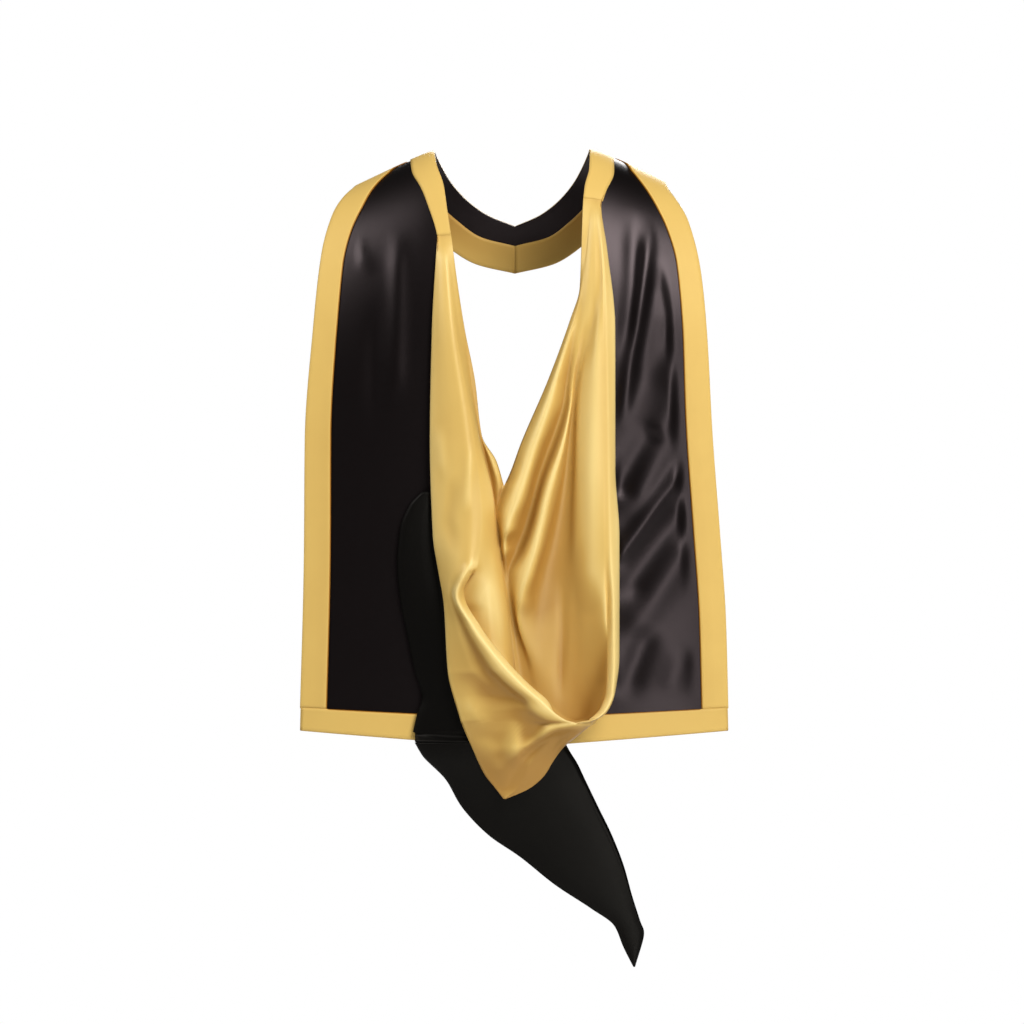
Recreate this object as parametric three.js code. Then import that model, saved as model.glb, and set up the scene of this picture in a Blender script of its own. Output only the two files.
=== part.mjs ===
// Academic hood as it hangs from the shoulders, in millimetres, +Z up.
// The origin is on the shoulder crest in the middle of the neck opening. The wearer faces +Y,
// so the cape and the cowl hang on the -Y side, and +X is on the right when the hood is seen
// from behind.
import * as THREE from 'three';
import { mergeVertices } from 'three/addons/utils/BufferGeometryUtils.js';

// Cape and shoulders
const neckHalf = 82;          // half width of the neck opening on the shoulder crest
const vDrop = 344;            // crest to the point of the back neckline
const capeHalf = 215;         // half width of the cape at its hem
const capeDrop = 604;         // crest to the lowest point of the hem
const crestSlope = 0.48;      // fall of the shoulder for each mm outwards
const crestBlend = 12;        // rounding where the shoulder starts to fall
const backDepth = 100;        // crest back to the shoulder blades
const backRound = 200;        // drop over which the back rounds off
const chestDepth = 85;        // crest forward to the chest
const chestRound = 160;       // drop over which the chest rounds off
const sideBow = 28;           // how far the cape's side edges come forward
const throatDrop = 75;        // crest to the neck edge at the throat
const throatWidth = 47;       // height of the band at the throat

// Trim
const borderWidth = 28;
const hemCornerWidth = 22;    // the hem's binding narrows a little towards the corners
const strapWidth = 26;
const leftStrapEndDrop = 92;  // crest to where the neckband meets the cowl
const rightStrapEndDrop = 54;

// Cowl and tail
const cowlHalf = 100;         // half width of the cowl's mouth
const cowlDepth = 66;         // how far the lowest point of the lip stands off the cape
const lipDrop = 578;          // crest to the lowest point of the lip
const bandDrop = 77;          // lip to the point of the turned-out band
const pouchBottom = 7;        // lip to the bottom of the pouch
const lipRadius = 8;
const tailDrop = 224;         // seam of the tail to its tip
const tailTopDepth = 24;
const tailThickness = 5;      // over both layers where the tail is pressed flat
const tailRest = 8;           // how far the flat tail's middle hangs off the line of the cape
const tailFullness = 0.6;     // below 1 the tube is fuller towards its two folds

// Cloth
const capeWall = 1.2;
const trimWall = 1;
const cowlWall = 1.2;
const seamGap = 0.3;
const tailSeamGap = 1.2;      // wider, because both cloths meet there at a slope
const foldRelief = 6;         // height of the soft folds in the cape
const foldFade = 0.2;         // share of a fold's length over which it rises and dies away

const satinBlack = new THREE.MeshStandardMaterial({ color: 0x17130f, roughness: 0.42, metalness: 0 });
const satinGold = new THREE.MeshStandardMaterial({ color: 0xdcb868, roughness: 0.36, metalness: 0 });

// Neckline at the back: drop as a share of vDrop, x as a share of neckHalf
const neckline = {
  left: [
    { drop: 0, x: -1 }, { drop: 0.05, x: -0.963 }, { drop: 0.113, x: -0.878 }, { drop: 0.19, x: -0.829 },
    { drop: 0.28, x: -0.774 }, { drop: 0.4, x: -0.707 },
    { drop: 0.547, x: -0.61 }, { drop: 0.692, x: -0.488 },
    { drop: 0.855, x: -0.402 }, { drop: 0.927, x: -0.226 }, { drop: 1, x: -0.134 },
  ],
  right: [
    { drop: 0, x: 0.927 }, { drop: 0.06, x: 0.915 }, { drop: 0.122, x: 0.854 }, { drop: 0.19, x: 0.829 },
    { drop: 0.3, x: 0.811 }, { drop: 0.424, x: 0.788 }, { drop: 0.517, x: 0.671 }, { drop: 0.692, x: 0.402 },
    { drop: 0.875, x: 0.073 }, { drop: 0.962, x: -0.061 }, { drop: 1, x: -0.134 },
  ],
};

// Outer edge of the cape: drop as a share of capeDrop, x as a share of capeHalf
const outerEdge = {
  left: [
    { drop: 0.053, x: -0.712 }, { drop: 0.088, x: -0.814 },
    { drop: 0.116, x: -0.856 }, { drop: 0.18, x: -0.902 },
    { drop: 0.311, x: -0.94 }, { drop: 0.493, x: -0.977 },
    { drop: 0.684, x: -0.981 }, { drop: 0.974, x: -1.002 },
  ],
  right: [
    { drop: 0.053, x: 0.679 }, { drop: 0.076, x: 0.73 }, { drop: 0.126, x: 0.809 }, { drop: 0.212, x: 0.865 },
    { drop: 0.311, x: 0.891 }, { drop: 0.477, x: 0.916 }, { drop: 0.651, x: 0.953 }, { drop: 0.788, x: 0.98 },
    { drop: 0.974, x: 0.994 },
  ],
};

// Rows of the band in front, from the crest to the throat. The inner edge has its x as a share
// of neckHalf and its drop as a share of throatDrop. The outer edge has its x as a share of
// capeHalf and its drop as a share of the band's full reach. slant widens the border's share
// where the row crosses it at an angle.
const frontRows = [
  { innerX: 0.982, innerDrop: 0.04, outerX: 0.651, outerDrop: 0.09, slant: 1.45 },
  { innerX: 0.927, innerDrop: 0.17, outerX: 0.567, outerDrop: 0.3, slant: 1.2 },
  { innerX: 0.805, innerDrop: 0.4, outerX: 0.456, outerDrop: 0.54, slant: 1.08 },
  { innerX: 0.61, innerDrop: 0.64, outerX: 0.335, outerDrop: 0.75, slant: 1.02 },
  { innerX: 0.341, innerDrop: 0.85, outerX: 0.186, outerDrop: 0.92, slant: 1 },
  { innerX: 0, innerDrop: 1, outerX: 0, outerDrop: 1, slant: 1 },
];

// Rows of the cape down the back: inner drop as a share of vDrop down to the neckline's point,
// outer drop as a share of capeDrop, and the same slant. strap is the neckband's share of its
// full width.
const backRows = [
  { inner: 0, outer: 0.056, slant: 1.6, strap: 1 },
  { inner: 0.017, outer: 0.071, slant: 1.46, strap: 1.02 },
  { inner: 0.047, outer: 0.091, slant: 1.35, strap: 1.03 },
  { inner: 0.093, outer: 0.119, slant: 1.25, strap: 0.97 },
  { inner: rightStrapEndDrop / vDrop, outer: 0.156, slant: 1.05, strap: 0.8, strapEnds: 'right' },
  { inner: leftStrapEndDrop / vDrop, outer: 0.212, slant: 0.9, strap: 0.56, strapEnds: 'left' },
  { inner: 0.349, outer: 0.258, slant: 0.9, strap: 0.56 },
  { inner: 0.459, outer: 0.318, slant: 0.9, strap: 0.56 },
  { inner: 0.581, outer: 0.384, slant: 0.92, strap: 0.56 },
  { inner: 0.715, outer: 0.457, slant: 0.94, strap: 0.56 },
  { inner: 0.855, outer: 0.533, slant: 0.95, strap: 0.56 },
  { inner: 1, outer: 0.609, slant: 0.95, strap: 0.56 },
];

// Rows below the point, as shares of the way from it to the hem's upper edge
const lowerRows = [0.2, 0.4, 0.6, 0.8, 1];
const hemOuterShare = 0.974;  // the corners hang a little higher than the middle of the hem

// Soft folds in the cape: a ridge from one place to another, x as a share of capeHalf, drop as a
// share of capeDrop, width as a share of capeHalf, height as a share of foldRelief
const capeFolds = [
  { fromX: 0.595, fromDrop: 0.12, toX: 0.577, toDrop: 0.28, width: 0.05, height: 0.8 },
  { fromX: 0.577, fromDrop: 0.28, toX: 0.52, toDrop: 0.5, width: 0.05, height: 0.7 },
  { fromX: 0.795, fromDrop: 0.556, toX: 0.52, toDrop: 0.71, width: 0.075, height: 1.1 },
  { fromX: 0.651, fromDrop: 0.46, toX: 0.6, toDrop: 0.55, width: 0.06, height: -0.8 },
  { fromX: 0.814, fromDrop: 0.69, toX: 0.581, toDrop: 0.825, width: 0.08, height: 0.8 },
  { fromX: -0.786, fromDrop: 0.146, toX: -0.665, toDrop: 0.217, width: 0.045, height: 0.5 },
  { fromX: -0.549, fromDrop: 0.15, toX: -0.56, toDrop: 0.43, width: 0.05, height: 0.7 },
];

// Lines that run down the cowl's left half: drop as a share of lipDrop, x as a share of cowlHalf,
// depth off the cape as a share of cowlDepth
const leftLines = {
  edge: [
    { drop: 0.166, x: -0.78, depth: 0.06 }, { drop: 0.325, x: -0.83, depth: 0.09 },
    { drop: 0.515, x: -0.85, depth: 0.14 }, { drop: 0.68, x: -0.82, depth: 0.2 },
    { drop: 0.747, x: -0.76, depth: 0.24 }, { drop: 0.798, x: -0.71, depth: 0.3 },
    { drop: 0.913, x: -0.67, depth: 0.36 }, { drop: 1, x: -0.54, depth: 0.4 },
  ],
  lip: [
    { drop: 0.166, x: -0.72, depth: 0.09 }, { drop: 0.325, x: -0.62, depth: 0.25 },
    { drop: 0.509, x: -0.49, depth: 0.36 }, { drop: 0.65, x: -0.44, depth: 0.48 },
    { drop: 0.733, x: -0.46, depth: 0.6 }, { drop: 0.792, x: -0.58, depth: 0.68 },
    { drop: 0.834, x: -0.43, depth: 0.76 }, { drop: 0.889, x: -0.19, depth: 0.84 },
    { drop: 0.933, x: 0.05, depth: 0.91 }, { drop: 0.965, x: 0.285, depth: 0.96 },
    { drop: 0.985, x: 0.45, depth: 0.99 }, { drop: 1, x: 0.6, depth: 1 },
  ],
  pocket: [
    { drop: 0.166, x: -0.66, depth: 0.07 }, { drop: 0.325, x: -0.54, depth: 0.18 },
    { drop: 0.509, x: -0.38, depth: 0.28 }, { drop: 0.65, x: -0.31, depth: 0.42 },
    { drop: 0.733, x: -0.36, depth: 0.5 }, { drop: 0.792, x: -0.5, depth: 0.42 },
    { drop: 0.834, x: -0.54, depth: 0.33 }, { drop: 0.933, x: -0.48, depth: 0.3 },
    { drop: 1, x: -0.38, depth: 0.28 },
  ],
  flank: [
    { drop: 0.166, x: -0.645, depth: 0.05 }, { drop: 0.325, x: -0.515, depth: 0.12 },
    { drop: 0.509, x: -0.35, depth: 0.17 }, { drop: 0.637, x: -0.2, depth: 0.2 },
    { drop: 0.733, x: -0.22, depth: 0.36 }, { drop: 0.8, x: -0.25, depth: 0.46 },
    { drop: 0.889, x: -0.19, depth: 0.34 }, { drop: 1, x: -0.06, depth: 0.2 },
  ],
};

// Lines that run down the right half. The first is the valley below the neckline's point; above
// the point its place is taken by the neckline.
const rightLines = {
  valley: [
    { drop: 0.595, x: -0.11, depth: 0.06 }, { drop: 0.64, x: -0.18, depth: 0.12 },
    { drop: 0.747, x: -0.11, depth: 0.26 }, { drop: 0.82, x: -0.05, depth: 0.24 },
    { drop: 0.917, x: 0.01, depth: 0.17 }, { drop: 1, x: 0.05, depth: 0.14 },
  ],
  firstRidge: [
    { drop: 0.1, x: 0.7, depth: 0.06 }, { drop: 0.284, x: 0.65, depth: 0.14 },
    { drop: 0.412, x: 0.44, depth: 0.2 }, { drop: 0.519, x: 0.24, depth: 0.27 },
    { drop: 0.654, x: -0.02, depth: 0.33 }, { drop: 0.747, x: -0.06, depth: 0.31 },
    { drop: 0.917, x: 0.08, depth: 0.19 }, { drop: 1, x: 0.14, depth: 0.15 },
  ],
  firstValley: [
    { drop: 0.1, x: 0.73, depth: 0.08 }, { drop: 0.284, x: 0.69, depth: 0.15 },
    { drop: 0.412, x: 0.57, depth: 0.1 }, { drop: 0.519, x: 0.42, depth: 0.12 },
    { drop: 0.666, x: 0.12, depth: 0.17 }, { drop: 0.76, x: 0, depth: 0.27 },
    { drop: 0.917, x: 0.15, depth: 0.19 }, { drop: 1, x: 0.22, depth: 0.15 },
  ],
  secondRidge: [
    { drop: 0.1, x: 0.75, depth: 0.1 }, { drop: 0.284, x: 0.72, depth: 0.17 },
    { drop: 0.412, x: 0.61, depth: 0.14 }, { drop: 0.519, x: 0.5, depth: 0.22 },
    { drop: 0.595, x: 0.37, depth: 0.3 }, { drop: 0.723, x: 0.17, depth: 0.4 },
    { drop: 0.8, x: 0.07, depth: 0.36 }, { drop: 0.917, x: 0.23, depth: 0.19 },
    { drop: 1, x: 0.3, depth: 0.15 },
  ],
  deepFold: [
    { drop: 0.1, x: 0.77, depth: 0.11 }, { drop: 0.284, x: 0.75, depth: 0.18 },
    { drop: 0.412, x: 0.65, depth: 0.13 }, { drop: 0.533, x: 0.56, depth: 0.11 },
    { drop: 0.69, x: 0.37, depth: 0.12 }, { drop: 0.76, x: 0.28, depth: 0.19 },
    { drop: 0.917, x: 0.35, depth: 0.19 }, { drop: 1, x: 0.4, depth: 0.15 },
  ],
  foot: [
    { drop: 0.1, x: 0.79, depth: 0.12 }, { drop: 0.284, x: 0.79, depth: 0.21 },
    { drop: 0.412, x: 0.7, depth: 0.2 }, { drop: 0.533, x: 0.63, depth: 0.19 },
    { drop: 0.69, x: 0.6, depth: 0.2 }, { drop: 0.8, x: 0.58, depth: 0.22 },
    { drop: 1, x: 0.52, depth: 0.16 },
  ],
  middle: [
    { drop: 0.1, x: 0.81, depth: 0.12 }, { drop: 0.24, x: 0.85, depth: 0.24 },
    { drop: 0.412, x: 0.82, depth: 0.29 }, { drop: 0.6, x: 0.79, depth: 0.36 },
    { drop: 0.8, x: 0.8, depth: 0.42 }, { drop: 0.93, x: 0.79, depth: 0.34 },
    { drop: 1, x: 0.74, depth: 0.22 },
  ],
  back: [
    { drop: 0.1, x: 0.817, depth: 0.11 }, { drop: 0.24, x: 0.875, depth: 0.25 },
    { drop: 0.412, x: 0.88, depth: 0.34 }, { drop: 0.6, x: 0.88, depth: 0.45 },
    { drop: 0.8, x: 0.9, depth: 0.56 }, { drop: 0.93, x: 0.9, depth: 0.46 }, { drop: 1, x: 0.8, depth: 0.32 },
  ],
  lip: [
    { drop: 0.1, x: 0.83, depth: 0.1 }, { drop: 0.24, x: 0.9, depth: 0.25 },
    { drop: 0.412, x: 0.93, depth: 0.39 }, { drop: 0.6, x: 0.94, depth: 0.5 },
    { drop: 0.79, x: 0.97, depth: 0.65 }, { drop: 0.89, x: 0.97, depth: 0.76 },
    { drop: 0.95, x: 0.94, depth: 0.87 },
    { drop: 0.98, x: 0.86, depth: 0.95 }, { drop: 1, x: 0.6, depth: 1 },
  ],
  edge: [
    { drop: 0.1, x: 0.854, depth: 0.06 }, { drop: 0.182, x: 0.92, depth: 0.13 },
    { drop: 0.325, x: 1, depth: 0.21 }, { drop: 0.567, x: 1, depth: 0.28 },
    { drop: 0.68, x: 1.04, depth: 0.34 }, { drop: 0.888, x: 1.037, depth: 0.52 },
    { drop: 0.95, x: 0.99, depth: 0.66 }, { drop: 0.984, x: 0.9, depth: 0.78 },
    { drop: 1, x: 0.76, depth: 0.84 },
  ],
  hem: [
    { drop: 0.1, x: 0.84, depth: 0.045 }, { drop: 0.325, x: 0.95, depth: 0.06 },
    { drop: 0.567, x: 0.95, depth: 0.08 }, { drop: 0.79, x: 0.98, depth: 0.16 },
    { drop: 0.888, x: 0.98, depth: 0.3 }, { drop: 0.95, x: 0.94, depth: 0.46 },
    { drop: 1, x: 0.735, depth: 0.68 },
  ],
};

// Knots between the band's edge and the lip. Above the crease they lie back from the lip by a
// share of the width and down by a share of the height. Below it they close round the roll, no
// further than reach and fall times its radius.
const bandKnots = [
  { flatBack: 0.7, flatDown: 0.48, rollBack: 0.7, rollDown: 0.66, reach: 20, fall: 20 },
  { flatBack: 0.4, flatDown: 0.17, rollBack: 0.42, rollDown: 0.42, reach: 2.4, fall: 1.5 },
  { flatBack: 0.15, flatDown: 0.03, rollBack: 0.2, rollDown: 0.14, reach: 1.3, fall: 0.5 },
];

// Knots inside the lip: above the crease on the way to the pocket, and below it beside and under
// the lip by a multiple of its radius, with other values where the lip turns level
const innerKnots = [
  { toPocket: 0.4, sink: 0.2, besideLip: 0.8, underLip: 0.75, besideBottom: -0.5, underBottom: 0.375 },
  { toPocket: 0.75, sink: 0.6, besideLip: -0.1, underLip: 2, besideBottom: -1.4, underBottom: 1.4 },
];

// Rows of the turned-out band below the lip: drop as a share of bandDrop, x of both edges as a
// share of cowlHalf, depth at both edges and at the highest place between them as a share of
// cowlDepth, and where that place is as a share of the row
const bandRows = [
  { drop: 0.16, left: -0.5, right: 0.64, edgeDepth: 0.42, crestDepth: 0.86, rightDepth: 0.76, crestAt: 0.82 },
  { drop: 0.32, left: -0.45, right: 0.49, edgeDepth: 0.45, crestDepth: 0.78, rightDepth: 0.66, crestAt: 0.78 },
  { drop: 0.5, left: -0.385, right: 0.385, edgeDepth: 0.47, crestDepth: 0.7, rightDepth: 0.6, crestAt: 0.73 },
  { drop: 0.7, left: -0.3, right: 0.29, edgeDepth: 0.48, crestDepth: 0.62, rightDepth: 0.55, crestAt: 0.68 },
  { drop: 0.86, left: -0.2, right: 0.15, edgeDepth: 0.49, crestDepth: 0.56, rightDepth: 0.52, crestAt: 0.64 },
  { drop: 1, left: -0.115, right: -0.085, edgeDepth: 0.5, crestDepth: 0.51, rightDepth: 0.5, crestAt: 0.6 },
];

// Rows of the black shell: drop as a share of lipDrop, x of its left fold and of its right end as
// a share of cowlHalf. front is how far its front wall reaches inside the fold of the lining, as
// the share of the way from the band's edge to the lip.
const shellRows = [
  { drop: 0.605, fold: -0.93, right: 0.9, front: 0.12 },
  { drop: 0.63, fold: -1.06, right: 0.9, front: 0.14 },
  { drop: 0.67, fold: -1.15, right: 0.9, front: 0.16 },
  { drop: 0.73, fold: -1.18, right: 0.91, front: 0.18 },
  { drop: 0.79, fold: -1.15, right: 0.93, front: 0.15 },
  { drop: 0.85, fold: -1.08, right: 0.92, front: 0.22 },
  { drop: 0.91, fold: -1.01, right: 0.88, front: 0.18 },
  { drop: 0.96, fold: -0.93, right: 0.76, front: 0.12 },
  { drop: 0.99, fold: -0.98, right: 0.6, front: 0.08 },
  { drop: 1.02, fold: -1.02, right: 0.5, front: 0.08 },
];

// Rows of the tail: drop as a share of tailDrop, x of both edges as a share of cowlHalf, and how
// flat it is, 0 at the open top and 1 where both layers are pressed together
const tailRows = [
  { leftDrop: 0, left: -1, rightDrop: 0, right: 0.5, flat: 0 },
  { leftDrop: 0.06, left: -0.92, rightDrop: 0.04, right: 0.55, flat: 0.15 },
  { leftDrop: 0.165, left: -0.69, rightDrop: 0.09, right: 0.62, flat: 0.4 },
  { leftDrop: 0.281, left: -0.54, rightDrop: 0.165, right: 0.7, flat: 0.65 },
  { leftDrop: 0.41, left: -0.27, rightDrop: 0.286, right: 0.83, flat: 0.85 },
  { leftDrop: 0.509, left: 0.05, rightDrop: 0.415, right: 0.97, flat: 1 },
  { leftDrop: 0.634, left: 0.4, rightDrop: 0.554, right: 1.09, flat: 1 },
  { leftDrop: 0.737, left: 0.75, rightDrop: 0.683, right: 1.17, flat: 1 },
  { leftDrop: 0.817, left: 0.99, rightDrop: 0.795, right: 1.25, flat: 1 },
  { leftDrop: 0.911, left: 1.08, rightDrop: 0.853, right: 1.29, flat: 1 },
  { leftDrop: 1, left: 1.18, rightDrop: 1, right: 1.2, flat: 1 },
];

const middleColumns = 9;      // cloth columns of the cape between the trims
const cowlSteps = 2;          // facets between two neighbouring lines of the cowl

const mix = THREE.MathUtils.lerp;
const clamp = THREE.MathUtils.clamp;
const smooth = THREE.MathUtils.smoothstep;

// Monotone cubic through the rows of a table, so that no value overshoots its neighbours
function along(table, key, at, field) {
  const last = table.length - 1;
  if (at <= table[0][key]) return table[0][field];
  if (at >= table[last][key]) return table[last][field];
  let i = 0;
  while (at > table[i + 1][key]) i += 1;
  const slope = (k) => (table[k + 1][field] - table[k][field]) / (table[k + 1][key] - table[k][key]);
  const tangent = (k) => {
    if (k === 0) return slope(0);
    if (k === last) return slope(last - 1);
    const before = slope(k - 1);
    const after = slope(k);
    return before * after <= 0 ? 0 : (2 * before * after) / (before + after);
  };
  const span = table[i + 1][key] - table[i][key];
  const t = (at - table[i][key]) / span;
  const rise = (t * t) * (3 - 2 * t);
  return table[i][field] * (1 - rise) + table[i + 1][field] * rise
    + span * tangent(i) * t * (1 - t) * (1 - t) - span * tangent(i + 1) * t * t * (1 - t);
}

const neckX = (side, drop) => neckHalf * along(neckline[side], 'drop', drop / vDrop, 'x');
const outerX = (side, drop) => capeHalf * along(outerEdge[side], 'drop', drop / capeDrop, 'x');

// Fall of the shoulder's crest at a distance from the middle
function crestFall(x) {
  const out = Math.abs(x) - neckHalf;
  return crestSlope * 0.5 * (out + Math.hypot(out, crestBlend)) * smooth(Math.abs(x), 0, neckHalf);
}

// Quarter ellipse: how far round the body the cloth has come at a drop below the crest
function roundShare(drop, round) {
  const rest = 1 - clamp(drop / round, 0, 1);
  return Math.sqrt(1 - rest * rest);
}

function backY(x, z) {
  const bow = sideBow * Math.abs(x / capeHalf) ** 2.5;
  return -roundShare(-z - crestFall(x), backRound) * (backDepth - bow);
}

const frontY = (x, z) => roundShare(-z - crestFall(x), chestRound) * chestDepth;

// Height of the soft folds at a place on the cape
function foldHeight(x, z) {
  let height = 0;
  for (const fold of capeFolds) {
    const startX = fold.fromX * capeHalf;
    const startZ = -fold.fromDrop * capeDrop;
    const runX = fold.toX * capeHalf - startX;
    const runZ = -fold.toDrop * capeDrop - startZ;
    const length = Math.hypot(runX, runZ);
    const t = ((x - startX) * runX + (z - startZ) * runZ) / (length * length);
    const aside = ((x - startX) * runZ - (z - startZ) * runX) / length;
    const fade = smooth(t, -foldFade, foldFade) * (1 - smooth(t, 1 - foldFade, 1 + foldFade));
    height += foldRelief * fold.height * fade * Math.exp(-((aside / (fold.width * capeHalf)) ** 2));
  }
  const clearOfCowl = smooth(Math.abs(x), cowlHalf * 1.04, cowlHalf * 1.3);
  const clearOfBorder = 1 - smooth(Math.abs(x), capeHalf - 2 * borderWidth, capeHalf - borderWidth);
  return height * clearOfCowl * clearOfBorder;
}

// A sheet is a list of points and four-sided faces that share the points where they meet
class Sheet {
  constructor() {
    this.points = [];
    this.faces = [];
    this.byPlace = new Map();
  }

  add(point) {
    const place = `${point.x.toFixed(4)},${point.y.toFixed(4)},${point.z.toFixed(4)}`;
    if (!this.byPlace.has(place)) {
      this.byPlace.set(place, this.points.length);
      this.points.push(point.clone());
    }
    return this.byPlace.get(place);
  }

  // rows run down the cloth and columns to the right, as seen from the side that shows. A turned
  // grid splits its faces along the other diagonal, as its mirror image does.
  addGrid(rows, turned = false) {
    const marks = rows.map((row) => row.map((point) => this.add(point)));
    for (let r = 0; r + 1 < marks.length; r += 1) {
      for (let c = 0; c + 1 < marks[r].length; c += 1) {
        const face = [marks[r][c], marks[r + 1][c], marks[r + 1][c + 1], marks[r][c + 1]];
        if (turned) face.unshift(face.pop());
        this.addFace(face);
      }
    }
  }

  addFace(marks) {
    const face = marks.filter((mark, i) => mark !== marks[(i + 1) % marks.length]);
    if (face.length > 2) this.faces.push(face);
  }

  normals() {
    const sums = this.points.map(() => new THREE.Vector3());
    for (const face of this.faces) {
      const corners = face.map((mark) => this.points[mark]);
      const across = new THREE.Vector3().subVectors(corners[2], corners[0]);
      const other = new THREE.Vector3().subVectors(corners[3] ?? corners[0], corners[1]);
      const normal = new THREE.Vector3().crossVectors(across, other);
      for (const mark of face) sums[mark].add(normal);
    }
    return sums.map((sum) => sum.normalize());
  }
}

// Closed solid between two levels above a sheet, measured along its normals
function clothBetween(sheet, low, high, normals = sheet.normals()) {
  const count = sheet.points.length;
  const positions = [];
  for (const level of [high, low]) {
    sheet.points.forEach((point, i) => {
      const moved = point.clone().addScaledVector(normals[i], level);
      positions.push(moved.x, moved.y, moved.z);
    });
  }
  const indices = [];
  const open = new Map();
  for (const face of sheet.faces) {
    for (let i = 1; i + 1 < face.length; i += 1) {
      indices.push(face[0], face[i], face[i + 1]);
      indices.push(count + face[0], count + face[i + 1], count + face[i]);
    }
    face.forEach((mark, i) => {
      const next = face[(i + 1) % face.length];
      if (!open.delete(`${next},${mark}`)) open.set(`${mark},${next}`, [mark, next]);
    });
  }
  for (const [from, to] of open.values()) {
    indices.push(to, from, count + from);
    indices.push(to, count + from, count + to);
  }
  return solid(positions, indices);
}

function solid(positions, indices) {
  const geometry = new THREE.BufferGeometry();
  geometry.setAttribute('position', new THREE.Float32BufferAttribute(positions, 3));
  geometry.setIndex(indices);
  return mergeVertices(geometry, 1e-4);
}

// Rows of points across one half of the cape, from the throat to the hem
function capeHalfRows(side) {
  const sign = side === 'left' ? -1 : 1;
  const crestX = (which) => Math.abs(outerX(which, backRows[0].outer * capeDrop));
  const rows = [];
  for (const row of [...frontRows].reverse()) {
    const taper = mix(crestX(side) / crestX('left'), 1, row.innerDrop);
    rows.push(capeRow({
      side: sign, face: frontY, slant: row.slant, strap: 1, level: 0,
      innerX: sign * row.innerX * Math.abs(neckX(side, 0)), innerDrop: row.innerDrop * throatDrop,
      outerX: sign * row.outerX * capeHalf * taper, outerDrop: row.outerDrop * (throatDrop + throatWidth),
    }));
  }
  for (const row of backRows) {
    const innerDrop = row.inner * vDrop;
    const x = outerX(side, row.outer * capeDrop);
    const crest = row === backRows[0];
    rows.push(capeRow({
      side: sign, face: backY, slant: row.slant, strap: row.strap, level: smooth(row.inner, 0.1, 0.5),
      innerX: neckX(side, innerDrop), innerDrop, outerX: x,
      outerDrop: crest ? 0 : Math.max(row.outer * capeDrop - crestFall(x), 0),
    }));
  }
  const last = backRows[backRows.length - 1];
  const hemInner = capeDrop - borderWidth;
  const hemOuter = capeDrop * hemOuterShare - hemCornerWidth;
  for (const share of [...lowerRows, null]) {
    const innerDrop = share === null ? capeDrop : mix(vDrop, hemInner, share);
    const outerZ = share === null ? capeDrop * hemOuterShare : mix(last.outer * capeDrop, hemOuter, share);
    const x = outerX(side, outerZ);
    rows.push(capeRow({
      side: sign, face: backY, slant: last.slant, strap: last.strap, level: 1,
      innerX: neckX(side, vDrop) * (1 - (share ?? 1)), innerDrop, outerX: x, outerDrop: outerZ - crestFall(x),
    }));
  }
  return rows;
}

// One row across the cape: the neck edge, the neckband's edge, plain cloth, the border's edge and
// the outer edge
function capeRow({ side, face, innerX, innerDrop, outerX: endX, outerDrop, slant, strap, level }) {
  const place = (share) => {
    const x = mix(innerX, endX, share);
    const onCrest = crestFall(x) + mix(innerDrop, outerDrop, share);
    const straight = mix(innerDrop + crestFall(innerX), outerDrop + crestFall(endX), share);
    const z = -mix(onCrest, straight, level);
    return new THREE.Vector3(x, face(x, z), z);
  };
  const width = place(0).distanceTo(place(1));
  const borderAt = 1 - (borderWidth * slant) / width;
  const strapAt = Math.min((strapWidth * strap) / width, borderAt - 2 * seamGap / width);
  const shares = [0, strapAt];
  for (let i = 1; i <= middleColumns; i += 1) shares.push(mix(strapAt, borderAt, i / middleColumns));
  shares.push(1);
  const points = shares.map((share) => {
    const point = place(share);
    if (face === backY) point.y -= foldHeight(point.x, point.z);
    return point;
  });
  return side < 0 ? points.reverse() : points;
}

const capeRows = { left: capeHalfRows('left'), right: capeHalfRows('right') };
const lastColumn = middleColumns + 2;
const capeSheet = new Sheet();
capeSheet.addGrid(capeRows.left, true);
capeSheet.addGrid(capeRows.right);
const capeNormals = capeSheet.normals();
const capeNormalAt = (point) => capeNormals[capeSheet.add(point)];

function makeCape() {
  return clothBetween(capeSheet, -capeWall, 0, capeNormals);
}

// Gold facing on the neck edge, one loop from the left corner of the cowl round to the right one
function makeNeckband() {
  const sheet = new Sheet();
  for (const side of ['left', 'right']) {
    const endRow = frontRows.length + backRows.findIndex((row) => row.strapEnds === side);
    const rows = capeRows[side].slice(0, endRow + 1);
    const strips = rows.map((row) => (side === 'left' ? row.slice(-2) : row.slice(0, 2)));
    sheet.addGrid(strips, side === 'left');
  }
  const normals = sheet.points.map((point) => capeNormalAt(point));
  return clothBetween(sheet, seamGap, seamGap + trimWall, normals);
}

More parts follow.
